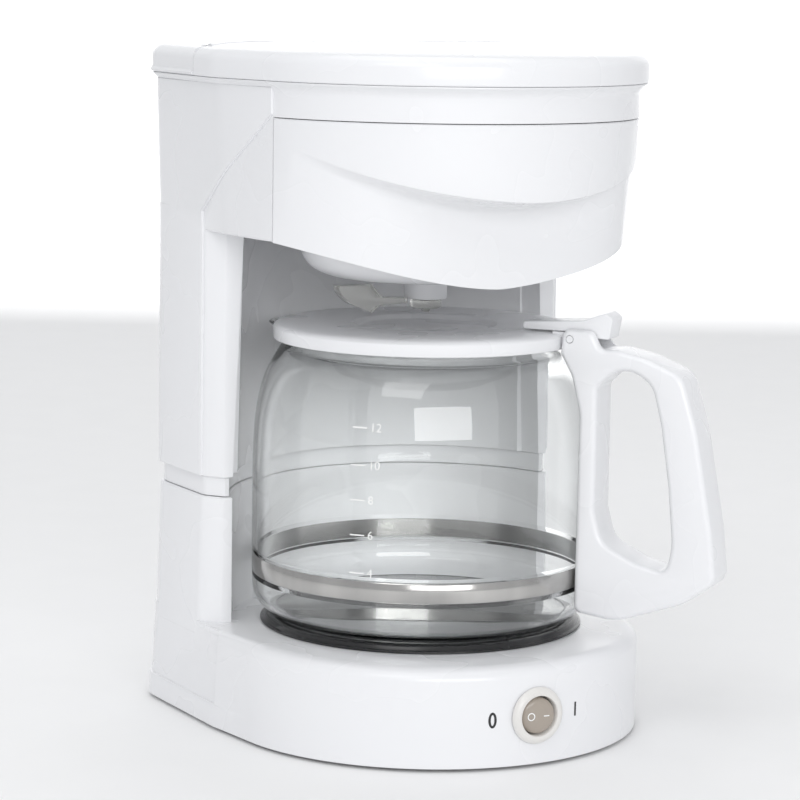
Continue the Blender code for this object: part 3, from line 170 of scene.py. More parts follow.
def texture(tree, scale, stretch=(1, 1, 1), detail=3.0):
    """Noise in object space; stretch above 1 squeezes it along that axis."""
    place = tree.nodes.new("ShaderNodeTexCoord")
    mapping = node(tree, "ShaderNodeMapping")
    mapping.inputs["Scale"].default_value = stretch
    noise = node(tree, "ShaderNodeTexNoise", Scale=scale, Detail=detail)
    tree.links.new(place.outputs["Object"], mapping.inputs["Vector"])
    tree.links.new(mapping.outputs["Vector"], noise.inputs["Vector"])
    return noise.outputs["Fac"]


def ramp(tree, factor, low, high):
    """Maps the middle of the noise to a range of numbers."""
    made = node(tree, "ShaderNodeMapRange")
    made.interpolation_type = "SMOOTHSTEP"
    made.inputs["From Min"].default_value = 0.15
    made.inputs["From Max"].default_value = 0.85
    made.inputs["To Min"].default_value = low
    made.inputs["To Max"].default_value = high
    tree.links.new(factor, made.inputs["Value"])
    return made.outputs["Result"]


def vary_colour(tree, shader, factor, first, second):
    mix = tree.nodes.new("ShaderNodeMix")
    mix.data_type = "RGBA"
    mix.inputs[6].default_value = (*first, 1.0)
    mix.inputs[7].default_value = (*second, 1.0)
    tree.links.new(ramp(tree, factor, 0.0, 1.0), mix.inputs[0])
    tree.links.new(mix.outputs[2], shader.inputs["Base Color"])


def relief(tree, shader, factor, strength, distance, edge=0.0):
    """Bump from a pattern, over edges softened by a small radius."""
    bump = node(tree, "ShaderNodeBump", Strength=strength, Distance=distance)
    tree.links.new(factor, bump.inputs["Height"])
    if edge:
        bevel = tree.nodes.new("ShaderNodeBevel")
        bevel.samples = 4
        bevel.inputs["Radius"].default_value = edge
        tree.links.new(bevel.outputs["Normal"], bump.inputs["Normal"])
    tree.links.new(bump.outputs["Normal"], shader.inputs["Normal"])


def glossy_plastic(name, light, dark, roughness, edge=0.0004):
    """Injection-moulded plastic: faint flow marks and a fine, slightly uneven gloss."""
    made, shader = surface(name, light, roughness, Coat_Weight=0.25, Coat_Roughness=0.12)
    tree = made.node_tree
    vary_colour(tree, shader, texture(tree, 6.0, detail=2.0), light, dark)
    gloss = texture(tree, 18.0, detail=2.0)
    tree.links.new(ramp(tree, gloss, roughness - 0.03, roughness + 0.03),
                   shader.inputs["Roughness"])
    relief(tree, shader, texture(tree, 1800.0, detail=1.0), 0.05, 0.00001, edge)
    return made


def matte(name, light, dark, roughness, grain, depth):
    made, shader = surface(name, light, roughness)
    tree = made.node_tree
    grit = texture(tree, grain, detail=5.0)
    vary_colour(tree, shader, grit, light, dark)
    tree.links.new(ramp(tree, grit, roughness - 0.06, roughness + 0.06),
                   shader.inputs["Roughness"])
    relief(tree, shader, grit, 0.35, depth)
    return made


def metal(name, light, dark, roughness, scale, stretch, depth=0.00001):
    """Metal with fine drawn lines along the unstretched directions; stretched hard and given a much
    darker second colour, as on the band, the streaks are painted reflection.
    """
    made, shader = surface(name, light, roughness, 1.0)
    tree = made.node_tree
    grain_and_reflection_streaks = texture(tree, scale, stretch, 4.0)
    # with a much darker second colour, as on the band, these streaks in the colour are painted
    # reflection
    vary_colour(tree, shader, grain_and_reflection_streaks, light, dark)
    tree.links.new(ramp(tree, grain_and_reflection_streaks, roughness - 0.04, roughness + 0.08),
                   shader.inputs["Roughness"])
    relief(tree, shader, grain_and_reflection_streaks, 0.15, depth)
    return made


def see_through(name, colour, roughness, ior, transmission, haze=0.02):
    made, shader = surface(name, colour, roughness, IOR=ior, Transmission_Weight=transmission)
    tree = made.node_tree
    smear = texture(tree, 24.0, detail=3.0)
    tree.links.new(ramp(tree, smear, roughness, roughness + haze), shader.inputs["Roughness"])
    path = tree.nodes.new("ShaderNodeLightPath")
    clear = tree.nodes.new("ShaderNodeBsdfTransparent")
    clear.inputs["Color"].default_value = (*[0.4 + 0.6 * c * transmission for c in colour], 1.0)
    mix = tree.nodes.new("ShaderNodeMixShader")
    tree.links.new(path.outputs["Is Shadow Ray"], mix.inputs[0])
    tree.links.new(shader.outputs[0], mix.inputs[1])
    tree.links.new(clear.outputs[0], mix.inputs[2])
    tree.links.new(mix.outputs[0], tree.nodes["Material Output"].inputs["Surface"])
    return made


WHITE = glossy_plastic("white_plastic", (0.86, 0.865, 0.88), (0.845, 0.85, 0.87), 0.27)
WARM_WHITE = glossy_plastic("bezel_plastic", (0.80, 0.785, 0.76), (0.77, 0.755, 0.73), 0.30,
                            0.0002)
GREY = matte("grey_plastic", (0.62, 0.62, 0.62), (0.56, 0.56, 0.56), 0.45, 600, 0.00003)
BLACK = matte("black_plastic", (0.030, 0.030, 0.030), (0.022, 0.022, 0.022), 0.42, 500, 0.00003)
ENAMEL = glossy_plastic("black_enamel", (0.006, 0.006, 0.007), (0.010, 0.010, 0.011), 0.26)
# band steel: its light and dark vertical streaks in the colour are painted reflection
STREAKED_REFLECTION_STEEL = metal("polished_steel_painted_reflection", (0.66, 0.65, 0.63), (0.34, 0.335, 0.33), 0.16, 34.0, (1, 1, 0.02))
TURNED_STEEL = metal("turned_steel", (0.58, 0.57, 0.55), (0.50, 0.49, 0.48), 0.30, 300.0,
                     (1, 1, 1))
ALUMINIUM = metal("aluminium", (0.70, 0.70, 0.71), (0.60, 0.60, 0.61), 0.38, 200.0, (1, 1, 1),
                  0.00003)
RUBBER = matte("rubber", (0.045, 0.045, 0.045), (0.030, 0.030, 0.030), 0.80, 900, 0.00005)
SILICONE = see_through("silicone", (0.86, 0.86, 0.83), 0.45, 1.41, 0.35, 0.08)
CLEAR = see_through("clear_plastic", (0.90, 0.90, 0.87), 0.06, 1.49, 0.85, 0.05)
GLASS = see_through("clear_glass", (0.985, 0.992, 0.99), 0.0, 1.47, 1.0, 0.008)
SMOKE = see_through("smoke_plastic", (0.50, 0.44, 0.38), 0.12, 1.49, 0.25, 0.05)
INSULATION = matte("wire_insulation", (0.50, 0.05, 0.04), (0.42, 0.04, 0.03), 0.48, 700, 0.00002)
WHITE_INK = matte("white_ink", (0.93, 0.93, 0.92), (0.88, 0.88, 0.87), 0.55, 2500, 0.00001)
BLACK_INK = matte("black_ink", (0.015, 0.015, 0.018), (0.030, 0.030, 0.032), 0.50, 2500, 0.00001)

BY_SLOT = {"white_plastic": WHITE, "grey_plastic": GREY, "black_plastic": BLACK,
           "black_enamel": ENAMEL, "steel": TURNED_STEEL, "aluminium": ALUMINIUM,
           "rubber": RUBBER, "silicone": SILICONE, "clear_plastic": CLEAR,
           "clear_glass": GLASS, "smoke_plastic": SMOKE, "wire_insulation": INSULATION}

for row in frame["record"]["subparts"]:
    cad_node = frame["nodes"][row["node"]]
    for material_slot in cad_node.material_slots:
        material_slot.material = BY_SLOT[row["material_slot"]]


# ---------------------------------------------------------------- mesh helpers
def linked(name, data):
    made = bpy.data.objects.new(name, data)
    bpy.context.scene.collection.objects.link(made)
    return made


def mesh_from_bmesh(name, bm):
    bmesh.ops.recalc_face_normals(bm, faces=bm.faces)
    mesh = bpy.data.meshes.new(name)
    bm.to_mesh(mesh)
    bm.free()
    return mesh


def loft(name, sections):
    """Closed solid through matching outlines, given as (z, [(x, y), ...]) from the bottom up."""
    bm = bmesh.new()
    rings = [[bm.verts.new((x, y, z)) for x, y in outline] for z, outline in sections]
    count = len(rings[0])
    for low, high in zip(rings, rings[1:]):
        for i in range(count):
            j = (i + 1) % count
            bm.faces.new((low[i], low[j], high[j], high[i]))
    bm.faces.new(rings[0][::-1])
    bm.faces.new(rings[-1])
    return mesh_from_bmesh(name, bm)


def lathe(name, profile, steps=96, ring=True):
    """Solid of revolution; points on the axis close it, otherwise the profile is a loop."""
    bm = bmesh.new()
    rows = []
    for r, z in profile:
        if r < 1e-6:
            rows.append([bm.verts.new((0.0, 0.0, z))] * steps)
        else:
            rows.append([bm.verts.new((r * cos(2 * pi * i / steps), r * sin(2 * pi * i / steps), z))
                         for i in range(steps)])
    pairs = list(zip(rows, rows[1:]))
    if ring and profile[0][0] > 1e-6:
        pairs.append((rows[-1], rows[0]))
    for upper, lower in pairs:
        for i in range(steps):
            j = (i + 1) % steps
            corners = []
            for vertex in (upper[i], lower[i], lower[j], upper[j]):
                if vertex not in corners:
                    corners.append(vertex)
            if len(corners) > 2:
                bm.faces.new(corners)
    return mesh_from_bmesh(name, bm)


def box(name, low, high):
    bm = bmesh.new()
    bmesh.ops.create_cube(bm, size=1.0)
    centre = [(a + b) / 2 for a, b in zip(low, high)]
    bmesh.ops.scale(bm, vec=[b - a for a, b in zip(low, high)], verts=bm.verts)
    bmesh.ops.translate(bm, vec=centre, verts=bm.verts)
    return mesh_from_bmesh(name, bm)


def cylinder(name, start, end, radius, segments=32):
    start, end = Vector(start), Vector(end)
    along = end - start
    bm = bmesh.new()
    bmesh.ops.create_cone(bm, cap_ends=True, segments=segments, radius1=radius,
                          radius2=radius, depth=along.length)
    turn = along.to_track_quat("Z", "Y").to_matrix().to_4x4()
    bmesh.ops.transform(bm, matrix=Matrix.Translation((start + end) / 2) @ turn, verts=bm.verts)
    return mesh_from_bmesh(name, bm)


def placed(mesh, matrix):
    mesh.transform(matrix)
    return mesh


def evaluated(name, holder):
    bpy.context.view_layer.update()
    graph = bpy.context.evaluated_depsgraph_get()
    result = bpy.data.meshes.new_from_object(holder.evaluated_get(graph))
    result.name = name
    return result


def boolean(mesh, *steps):
    """Applies (operation, mesh) steps to a mesh and returns the new mesh."""
    holder = linked("work", mesh)
    others = []
    for operation, other in steps:
        helper = linked("helper", other)
        others.append(helper)
        modifier = holder.modifiers.new("step", "BOOLEAN")
        modifier.operation = operation
        modifier.solver = "EXACT"
        modifier.object = helper
    result = evaluated(mesh.name, holder)
    for used in [holder] + others:
        bpy.data.objects.remove(used, do_unlink=True)
    return result


def smooth_path(points, per_span=6):
    """Catmull-Rom points through the given ones."""
    knots = [Vector(p) for p in points]
    knots = [2 * knots[0] - knots[1]] + knots + [2 * knots[-1] - knots[-2]]
    path = []
    for a, b, c, d in zip(knots, knots[1:], knots[2:], knots[3:]):
        for step in range(per_span):
            t = step / per_span
            path.append(0.5 * ((2 * b) + (c - a) * t + (2 * a - 5 * b + 4 * c - d) * t * t
                               + (3 * b - a - 3 * c + d) * t ** 3))
    path.append(knots[-2])
    return path


def piece(name, mesh, body, look, replaces=(), sharp=34):
    """A finished visible piece that moves with a CAD body."""
    placed(mesh, Matrix.Translation((0.0, AXIS_Y, 0.0)))
    made = linked(name, mesh)
    mesh.materials.clear()
    mesh.materials.append(look)
    mesh.shade_smooth()
    mesh.set_sharp_from_angle(angle=radians(sharp))
    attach(made, body)
    if replaces:
        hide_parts(*replaces)
    return made


# ---------------------------------------------------------------- plan outlines
def arc(centre_x, centre_y, radius, start, end, steps):
    return [(centre_x + radius * cos(start + (end - start) * i / steps),
             centre_y + radius * sin(start + (end - start) * i / steps))
            for i in range(steps + 1)]


def front_arc(half, front, radius, shoulder):
    """Round front that runs tangent into the flared sides."""
    span_y = shoulder - (radius - front)
    sweep = atan2(span_y, half) + asin(min(1.0, radius / hypot(half, span_y)))
    return arc(0.0, radius - front, radius, -pi / 2 - sweep, -pi / 2 + sweep, ARC_STEPS)


def rear_corners(half, rear, corner):
    right = arc(half - corner, rear - corner, corner, 0.0, pi / 2, 14)
    return right + [(-x, y) for x, y in right[::-1]]


def plan_outline(inset=0.0, half=HEAD_HALF, front=HEAD_FRONT, radius=HEAD_RADIUS,
                 rear=REAR_Y, corner=REAR_CORNER, rear_half=None):
    rear_half = half if rear_half is None else rear_half
    outline = front_arc(half - inset, front - inset, radius - inset, SHOULDER_Y)
    soft = 0.0040           # rounds the shoulder where the flared side turns straight back
    outline += [(half - inset - 0.0003, SHOULDER_Y - soft), (half - inset, SHOULDER_Y + soft)]
    outline += rear_corners(rear_half - inset, rear - inset, corner - min(inset, corner / 2))
    return outline + [(-half + inset, SHOULDER_Y + soft),
                      (-half + inset + 0.0003, SHOULDER_Y - soft)]


def base_outline(inset, drum_half, wall_half, top_inset=0.0):
    outline = front_arc(drum_half - inset, BASE_FRONT - inset - top_inset,
                        BASE_RADIUS - inset - top_inset, SHOULDER_Y - top_inset)
    step_y = SHOULDER_Y + 0.0008
    rear = rear_corners(wall_half - inset, REAR_Y + 0.001 - inset, 0.022 - inset)
    return (outline + [(drum_half - inset, SHOULDER_Y), (wall_half - inset, step_y)] + rear
            + [(-wall_half + inset, step_y), (-drum_half + inset, SHOULDER_Y)])


def column_outline(inset=0.0, half=COLUMN_HALF, recess=RECESS_LOW, front=COLUMN_FRONT):
    recess = recess + inset
    front = front + inset
    mouth = asin(front / recess)
    mouth_x = recess * cos(mouth)
    cheek = COLUMN_FRONT_HALF - inset + (half - COLUMN_HALF) * 0.6
    side = Vector((half - inset, RIDGE_Y + 0.3 * inset))
    corner = Vector((max(cheek, mouth_x + 0.0008), front))
    along = (side - corner).normalized()
    right = [tuple(corner - Vector((0.0008 if cheek > mouth_x + 0.002 else 0.0, 0.0))),
             tuple(corner + along * 0.0009)]
    right += [tuple(side - along * 0.0016), (side.x, side.y + 0.0016)]
    outline = right + rear_corners(half - inset, REAR_Y - inset, REAR_CORNER - min(inset, 0.005))
    outline += [(-x, y) for x, y in right[::-1]]
    return outline + arc(0.0, 0.0, recess, pi - mouth, mouth, RECESS_STEPS)


def quarter(steps=8):
    """Share of height and of depth along a rounded edge."""
    return [(sin(pi / 2 * i / steps), 1 - cos(pi / 2 * i / steps)) for i in range(steps + 1)]


# ---------------------------------------------------------------- base
def base_housing():
    top_inset = 0.0080
    sections = [(HOUSING_BOTTOM, base_outline(0.0, BASE_HALF, WALL_HALF)),
                (0.0125, base_outline(0.0, BASE_HALF - 0.0004, WALL_HALF))]
    for rise, depth in quarter():
        sections.append((DRUM_SHOULDER + rise * (DECK_Z - DRUM_SHOULDER),
                         base_outline(0.0, BASE_HALF - 0.0018 - 0.0032 * depth,
                                      DECK_HALF + 0.0002 * (1 - depth), top_inset * depth)))
    body = loft("base_housing", sections)
    skirt = loft("skirt", [
        (HOUSING_BOTTOM, base_outline(0.0004, BASE_HALF + 0.0007, BASE_HALF + 0.0007)),
        (SKIRT_TOP - 0.0010, base_outline(0.0004, BASE_HALF + 0.0005, BASE_HALF + 0.0005)),
        (SKIRT_TOP - 0.0003, base_outline(0.0004, BASE_HALF + 0.0002, BASE_HALF + 0.0001)),
        (SKIRT_TOP, base_outline(0.0004, BASE_HALF - 0.0004, BASE_HALF - 0.0008))])
    column = loft("column_foot", [
        (DECK_Z - 0.006, column_outline(half=DECK_HALF + 0.0003)),
        (SEAM_Z - 0.0006, column_outline(half=COLUMN_HALF + 0.0001)),
        (SEAM_Z, column_outline(0.0006, half=COLUMN_HALF))])
    inner_deck = DECK_Z - WALL
    hollow_low = loft("hollow_low", [
        (-0.010, base_outline(WALL, BASE_HALF, WALL_HALF)),
        (DRUM_SHOULDER - 0.003, base_outline(WALL, BASE_HALF - 0.0018, DECK_HALF)),
        (inner_deck, base_outline(WALL, BASE_HALF - 0.0030, DECK_HALF, 0.0060))])
    hollow_column = loft("hollow_column", [
        (inner_deck - 0.004, column_outline(WALL, half=DECK_HALF)),
        (SEAM_Z + 0.010, column_outline(WALL, half=COLUMN_HALF))])
    mesh = boolean(
        body, ("UNION", skirt), ("UNION", column), ("DIFFERENCE", hollow_low),
        ("DIFFERENCE", hollow_column),
        ("DIFFERENCE", cylinder("well", (0, 0, DECK_Z - 0.01), (0, 0, DECK_Z + 0.002),
                                WELL_RADIUS, 96)),
        ("DIFFERENCE", cylinder("switch", (0, -0.110, SWITCH_Z), (0, -0.090, SWITCH_Z),
                                SWITCH_HOLE, 48)),
        ("DIFFERENCE", cylinder("inlet", (0.045, 0.09, 0.024), (0.045, 0.11, 0.024), 0.0066)))
    piece("base_shell", mesh, "machine", WHITE, ("base_housing",))


def warming_plate():
    lip = DECK_Z + GAP
    profile = [(0.0, PLATE_TOP), (0.0300, PLATE_TOP), (0.0306, PLATE_TOP - 0.0003),
               (0.0480, PLATE_TOP - 0.0003), (0.0486, PLATE_TOP), (0.0690, PLATE_TOP),
               (0.0706, PLATE_TOP), (0.0712, PLATE_TOP - 0.0001), (0.0718, PLATE_TOP - 0.0004),
               (0.0722, PLATE_TOP - 0.0009), (0.0725, lip + 0.0016), (0.0727, lip + 0.0012),
               (0.0734, lip + 0.0010), (0.0738, lip + 0.0006), (0.0738, lip), (0.0684, lip),
               (0.0684, 0.0426), (0.0674, 0.0426), (0.0674, PLATE_TOP - 0.0010),
               (0.0, PLATE_TOP - 0.0010)]
    piece("hot_plate", lathe("hot_plate", profile, 128), "machine", ENAMEL,
          ("warming_plate",), 40)


# ---------------------------------------------------------------- upper housing
def head_outline(z, inset=0.0):
    rise = (z - HEAD_FLOOR) / (HEAD_STEP - HEAD_FLOOR)
    half = HEAD_HALF_LOW + (HEAD_HALF - HEAD_HALF_LOW) * rise
    return plan_outline(inset, half=half, rear_half=min(half, 0.0950))


def flare_outline(share):
    """Section between the head's side and the width of the rim above it."""
    return [(x + (wide_x - x) * share, y + (wide_y - y) * share)
            for (x, y), (wide_x, wide_y) in zip(head_outline(HEAD_STEP), rim_outline(0.0004))]


def side_prism(profile, half_width):
    bm = bmesh.new()
    left = [bm.verts.new((-half_width, y, z)) for y, z in profile]
    right = [bm.verts.new((half_width, y, z)) for y, z in profile]
    for i in range(len(profile)):
        j = (i + 1) % len(profile)
        bm.faces.new((left[i], left[j], right[j], right[i]))
    bm.faces.new(left[::-1])
    bm.faces.new(right)
    return mesh_from_bmesh("side_prism", bm)


def mirrored_box(name, low, high):
    twin_low, twin_high = (-high[0], low[1], low[2]), (-low[0], high[1], high[2])
    return [box(name, low, high), box(name, twin_low, twin_high)]


def upper_housing():
    floor_top = HEAD_FLOOR + WALL
    column = loft("upper_housing", [
        (SEAM_Z + GAP, column_outline(0.0014)),
        (SHELL_BOTTOM - 0.0008, column_outline(0.0014)),
        (SHELL_BOTTOM - 0.0003, column_outline(0.0003, recess=RECESS_LOW - 0.0003)),
        (SHELL_BOTTOM, column_outline(0.0, recess=RECESS_LOW - 0.0003)),
        (HEAD_FLOOR + 0.0015, column_outline(0.0, recess=RECESS_HIGH))])
    head = loft("head", [
        (HEAD_FLOOR, head_outline(HEAD_FLOOR, 0.0006)),
        (HEAD_FLOOR + 0.0006, head_outline(HEAD_FLOOR)),
        (HEAD_STEP - 0.0006, head_outline(HEAD_STEP)),
        (HEAD_STEP + 0.0002, flare_outline(0.03)), (HEAD_STEP + 0.0010, flare_outline(0.12)),
        (HEAD_STEP + 0.0018, flare_outline(0.27)), (HEAD_STEP + 0.0026, flare_outline(0.49)),
        (HEAD_STEP + 0.0033, flare_outline(0.75)), (HEAD_STEP + 0.0038, flare_outline(0.96)),
        (RIM_BOTTOM - 0.0006, flare_outline(1.0)), (RIM_BOTTOM - 0.0001, flare_outline(0.98))])
    skin = loft("skin", [
        (SHELL_BOTTOM, column_outline(-SHELL_PROUD, recess=0.0860)),
        (HEAD_FLOOR + 0.0010, column_outline(-SHELL_PROUD, recess=RECESS_HIGH + 0.001)),
        (HEAD_FLOOR + 0.0090, column_outline(-SHELL_PROUD, recess=RECESS_HIGH + 0.001))])
    head_skin = loft("head_skin", [
        (z, head_outline(min(z, HEAD_STEP), -SHELL_PROUD))
        for z in (HEAD_FLOOR + 0.0006, HEAD_STEP - 0.0010, HEAD_STEP + 0.0018)])
    crease = side_prism([(RIDGE_Y, 0.1110), (RIDGE_Y, 0.2330), (-0.0225, 0.2790),
                         (-0.0225, HEAD_STEP + 0.004), (0.1100, HEAD_STEP + 0.004),
                         (0.1100, 0.1110)], 0.1100)
    skin = boolean(skin, ("UNION", head_skin), ("INTERSECT", crease))
    inner_column = loft("inner_column", [
        (SEAM_Z - 0.010, column_outline(WALL + 0.0014)),
        (SHELL_BOTTOM, column_outline(WALL, recess=RECESS_LOW - 0.0003)),
        (HEAD_FLOOR, column_outline(WALL, recess=RECESS_HIGH)),
        (floor_top + 0.004, column_outline(WALL, recess=RECESS_HIGH))])
    inner_head = loft("inner_head", [
        (floor_top, head_outline(floor_top, WALL)),
        (HEAD_STEP, head_outline(HEAD_STEP, WALL + 0.0002)),
        (RIM_BOTTOM + 0.010, head_outline(HEAD_STEP, WALL + 0.0002))])
    window_half = HEAD_RADIUS * sin(DRAWER_SWEEP) + GAP
    window_rear = DRAWER_SEAM_Y + 0.0005
    rests = (mirrored_box("rail", (0.0795, window_rear + 0.001, 0.2570), (0.0885, 0.0300, 0.2597))
             + mirrored_box("rest", (0.0840, -0.0040, 0.2776), (0.0920, 0.0200, 0.2797))
             + mirrored_box("front_rest", (0.0500, -0.0768, 0.2782), (0.0560, -0.0680, 0.2797)))
    mesh = boolean(
        column, ("UNION", head), ("UNION", skin), ("DIFFERENCE", inner_column),
        ("DIFFERENCE", inner_head),
        ("DIFFERENCE", box("window", (-window_half, -0.120, 0.190),
                           (window_half, window_rear, DRAWER_TOP + 0.00034))),
        ("DIFFERENCE", cylinder("slot_round", (0, 0, 0.2200), (0, 0, 0.2300), SLOT_RADIUS, 96)),
        ("DIFFERENCE", box("slot", (-SLOT_RADIUS, -0.0900, 0.2200),
                           (SLOT_RADIUS, 0.0, 0.2300))),
        *[("UNION", rest) for rest in rests])
    piece("column_and_head", mesh, "machine", WHITE, ("upper_housing",))


# ---------------------------------------------------------------- lid and rear deck
LID_KNUCKLES = ((-0.0700, -0.0300), (0.0300, 0.0700))
DECK_KNUCKLES = ((-0.0925, -0.0704), (-0.0296, 0.0296), (0.0704, 0.0925))
TROUGH_HALF = 0.0930


def rim_outline(inset=0.0):
    return plan_outline(inset, half=RIM_HALF, front=RIM_FRONT, radius=RIM_RADIUS,
                        rear=REAR_Y + 0.0010, corner=REAR_CORNER, rear_half=0.0985)


def rim_body(name, ridge=0.0):
    """Outer body and hollow of the rim and crown; a ridge may run round the lower edge."""
    shape = [(RIM_BOTTOM, 0.0007), (RIM_BOTTOM + 0.0003, 0.0002),
             (RIM_BOTTOM + 0.0008, -0.8 * ridge), (RIM_BOTTOM + 0.0012, -ridge),
             (RIM_BOTTOM + 0.0016, -0.8 * ridge), (RIM_BOTTOM + 0.0026, 0.0),
             (RIM_SHOULDER - 0.0008, 0.0), (RIM_SHOULDER + 0.0006, 0.0003),
             (RIM_SHOULDER + 0.0018, 0.0011), (RIM_SHOULDER + 0.0028, 0.0021),
             (RIM_TOP - 0.0004, 0.0031), (RIM_TOP, 0.0040), (RIM_TOP + 0.0006, 0.0066),
             (RIM_TOP + 0.0014, 0.0118), (RIM_TOP + 0.0021, 0.0190), (RIM_TOP + 0.0026, 0.0290),
             (LID_CROWN, 0.0420)]
    solid = [(z, rim_outline(inset)) for z, inset in shape]
    hollow = [(RIM_BOTTOM - 0.005, rim_outline(0.0024)), (RIM_SHOULDER, rim_outline(0.0024)),
              (RIM_TOP - 0.0016, rim_outline(0.0080)), (RIM_TOP + 0.0002, rim_outline(0.0240))]
    return loft(name, solid), loft("rim_hollow", hollow)


def knuckles(spans, direction):
    """Hinge barrels and the webs that carry them."""
    steps = []
    near, far = LID_SPLIT + direction * 0.0010, LID_SPLIT + direction * 0.0090
    for a, b in spans:
        web = box("web", (a, min(near, far), LID_AXIS_Z - 0.0010),
                  (b, max(near, far), LID_AXIS_Z + 0.0026))
        barrel = cylinder("barrel", (a, LID_SPLIT, LID_AXIS_Z), (b, LID_SPLIT, LID_AXIS_Z),
                          KNUCKLE_RADIUS)
        steps += [("UNION", web), ("UNION", barrel)]
    bore = cylinder("bore", (-0.0860, LID_SPLIT, LID_AXIS_Z), (0.0860, LID_SPLIT, LID_AXIS_Z),
                    0.0014, 24)
    return steps + [("DIFFERENCE", bore)]


def lid_and_deck():
    trough_low = (-TROUGH_HALF, LID_SPLIT - 0.0040, 0.3005)
    trough_high = (TROUGH_HALF, LID_SPLIT + 0.0052, 0.3200)
    solid, hollow = rim_body("lid_shell")
    mesh = boolean(solid, ("DIFFERENCE", hollow),
                   ("DIFFERENCE", box("rear", (-0.120, LID_SPLIT - GAP / 2, 0.28),
                                      (0.120, 0.120, 0.33))),
                   ("DIFFERENCE", box("trough", trough_low, trough_high)),
                   *knuckles(LID_KNUCKLES, -1))
    piece("lid_shell", mesh, "lid", WHITE, ("top_lid",))
    solid, hollow = rim_body("deck_shell", DECK_RIDGE)
    mesh = boolean(solid, ("DIFFERENCE", hollow),
                   ("DIFFERENCE", box("front", (-0.120, -0.120, 0.28),
                                      (0.120, LID_SPLIT + GAP / 2, 0.33))),
                   ("DIFFERENCE", box("trough", trough_low, trough_high)),
                   ("DIFFERENCE", box("swing_gap", (-0.1200, LID_SPLIT, 0.3037),
                                      (0.1200, LID_SPLIT + 0.0028, 0.3200))),
                   *knuckles(DECK_KNUCKLES, 1))
    piece("deck_shell", mesh, "machine", WHITE, ("rear_deck",))


# ---------------------------------------------------------------- brew drawer
def lip_height(angle):
    return LIP_LOW + LIP_RISE * min(1.0, abs(angle) / radians(70.0)) ** 1.7


def chin(angle):
    u = abs(sin(angle) / sin(DRAWER_SWEEP))
    end_y = HEAD_RADIUS - HEAD_FRONT - HEAD_RADIUS * cos(DRAWER_SWEEP)
    z = CHIN_END - (CHIN_END - CHIN_LOW) * (1 - u ** 1.53)
    return Vector((HEAD_RADIUS * sin(angle), end_y - CHIN_DEPTH * (1 - u ** 4.7), z))


def drawer_rows(angle):
    """Points down the outside of the drawer front: face, finger lip, hollow and chin."""
    centre_y = HEAD_RADIUS - HEAD_FRONT
    lip_z = lip_height(angle)
    fade = max(0.0, 1.0 - (abs(angle) / radians(72.0)) ** 3)

    def on_arc(radius, z):
        return Vector((radius * sin(angle), centre_y - radius * cos(angle), z))

    draft = 0.0014 * fade
    rows = [on_arc(HEAD_RADIUS - 0.0005, DRAWER_TOP), on_arc(HEAD_RADIUS, DRAWER_TOP - 0.0005)]
    face_low = lip_z + 0.0012
    for share in (0.33, 0.66, 1.0):
        rows.append(on_arc(HEAD_RADIUS - draft * share,
                           DRAWER_TOP + (face_low - DRAWER_TOP) * share))
    edge = HEAD_RADIUS - draft
    rows.append(on_arc(edge - 0.0002 * fade, lip_z + 0.0004))
    rows.append(on_arc(edge - 0.0009 * fade, lip_z))
    low = chin(angle)
    lip = rows[-1]
    under = Vector((low.x, low.y - 0.0030 * fade, 0.0))
    for step in range(1, 7):
        t = pi / 2 * step / 6
        point = lip.lerp(under, sin(t) ** 0.85 * fade)
        point.z = lip_z - max(0.0070 * (1 - cos(t)) * fade, 0.0002 * step + 0.0024 * step / 6)
        rows.append(point)
    last = rows[-1]
    for share in (0.35, 0.7, 0.97):
        rows.append(last.lerp(low, share))
    rows.append(low)
    return rows


def drawer_front():
    steps = 110
    columns = [drawer_rows(-DRAWER_SWEEP + 2 * DRAWER_SWEEP * i / steps) for i in range(steps + 1)]
    bm = bmesh.new()
    grid = [[bm.verts.new(p) for p in rows] for rows in columns]
    for left, right in zip(grid, grid[1:]):
        for k in range(len(left) - 1):
            bm.faces.new((left[k + 1], right[k + 1], right[k], left[k]))
    mesh = bpy.data.meshes.new("drawer_shell")
    bm.to_mesh(mesh)
    bm.free()
    holder = linked("work", mesh)
    skin = holder.modifiers.new("thickness", "SOLIDIFY")
    skin.thickness = 0.0022
    skin.offset = -1.0
    skin.use_even_offset = True
    mesh = evaluated("drawer_shell", holder)
    bpy.data.objects.remove(holder, do_unlink=True)
    mesh = boolean(mesh, ("DIFFERENCE", box("behind", (-0.11, DRAWER_SEAM_Y, 0.19),
                                            (0.11, 0.06, 0.29))))
    piece("drawer_shell", mesh, "drawer", WHITE, ("drawer_front",), 40)


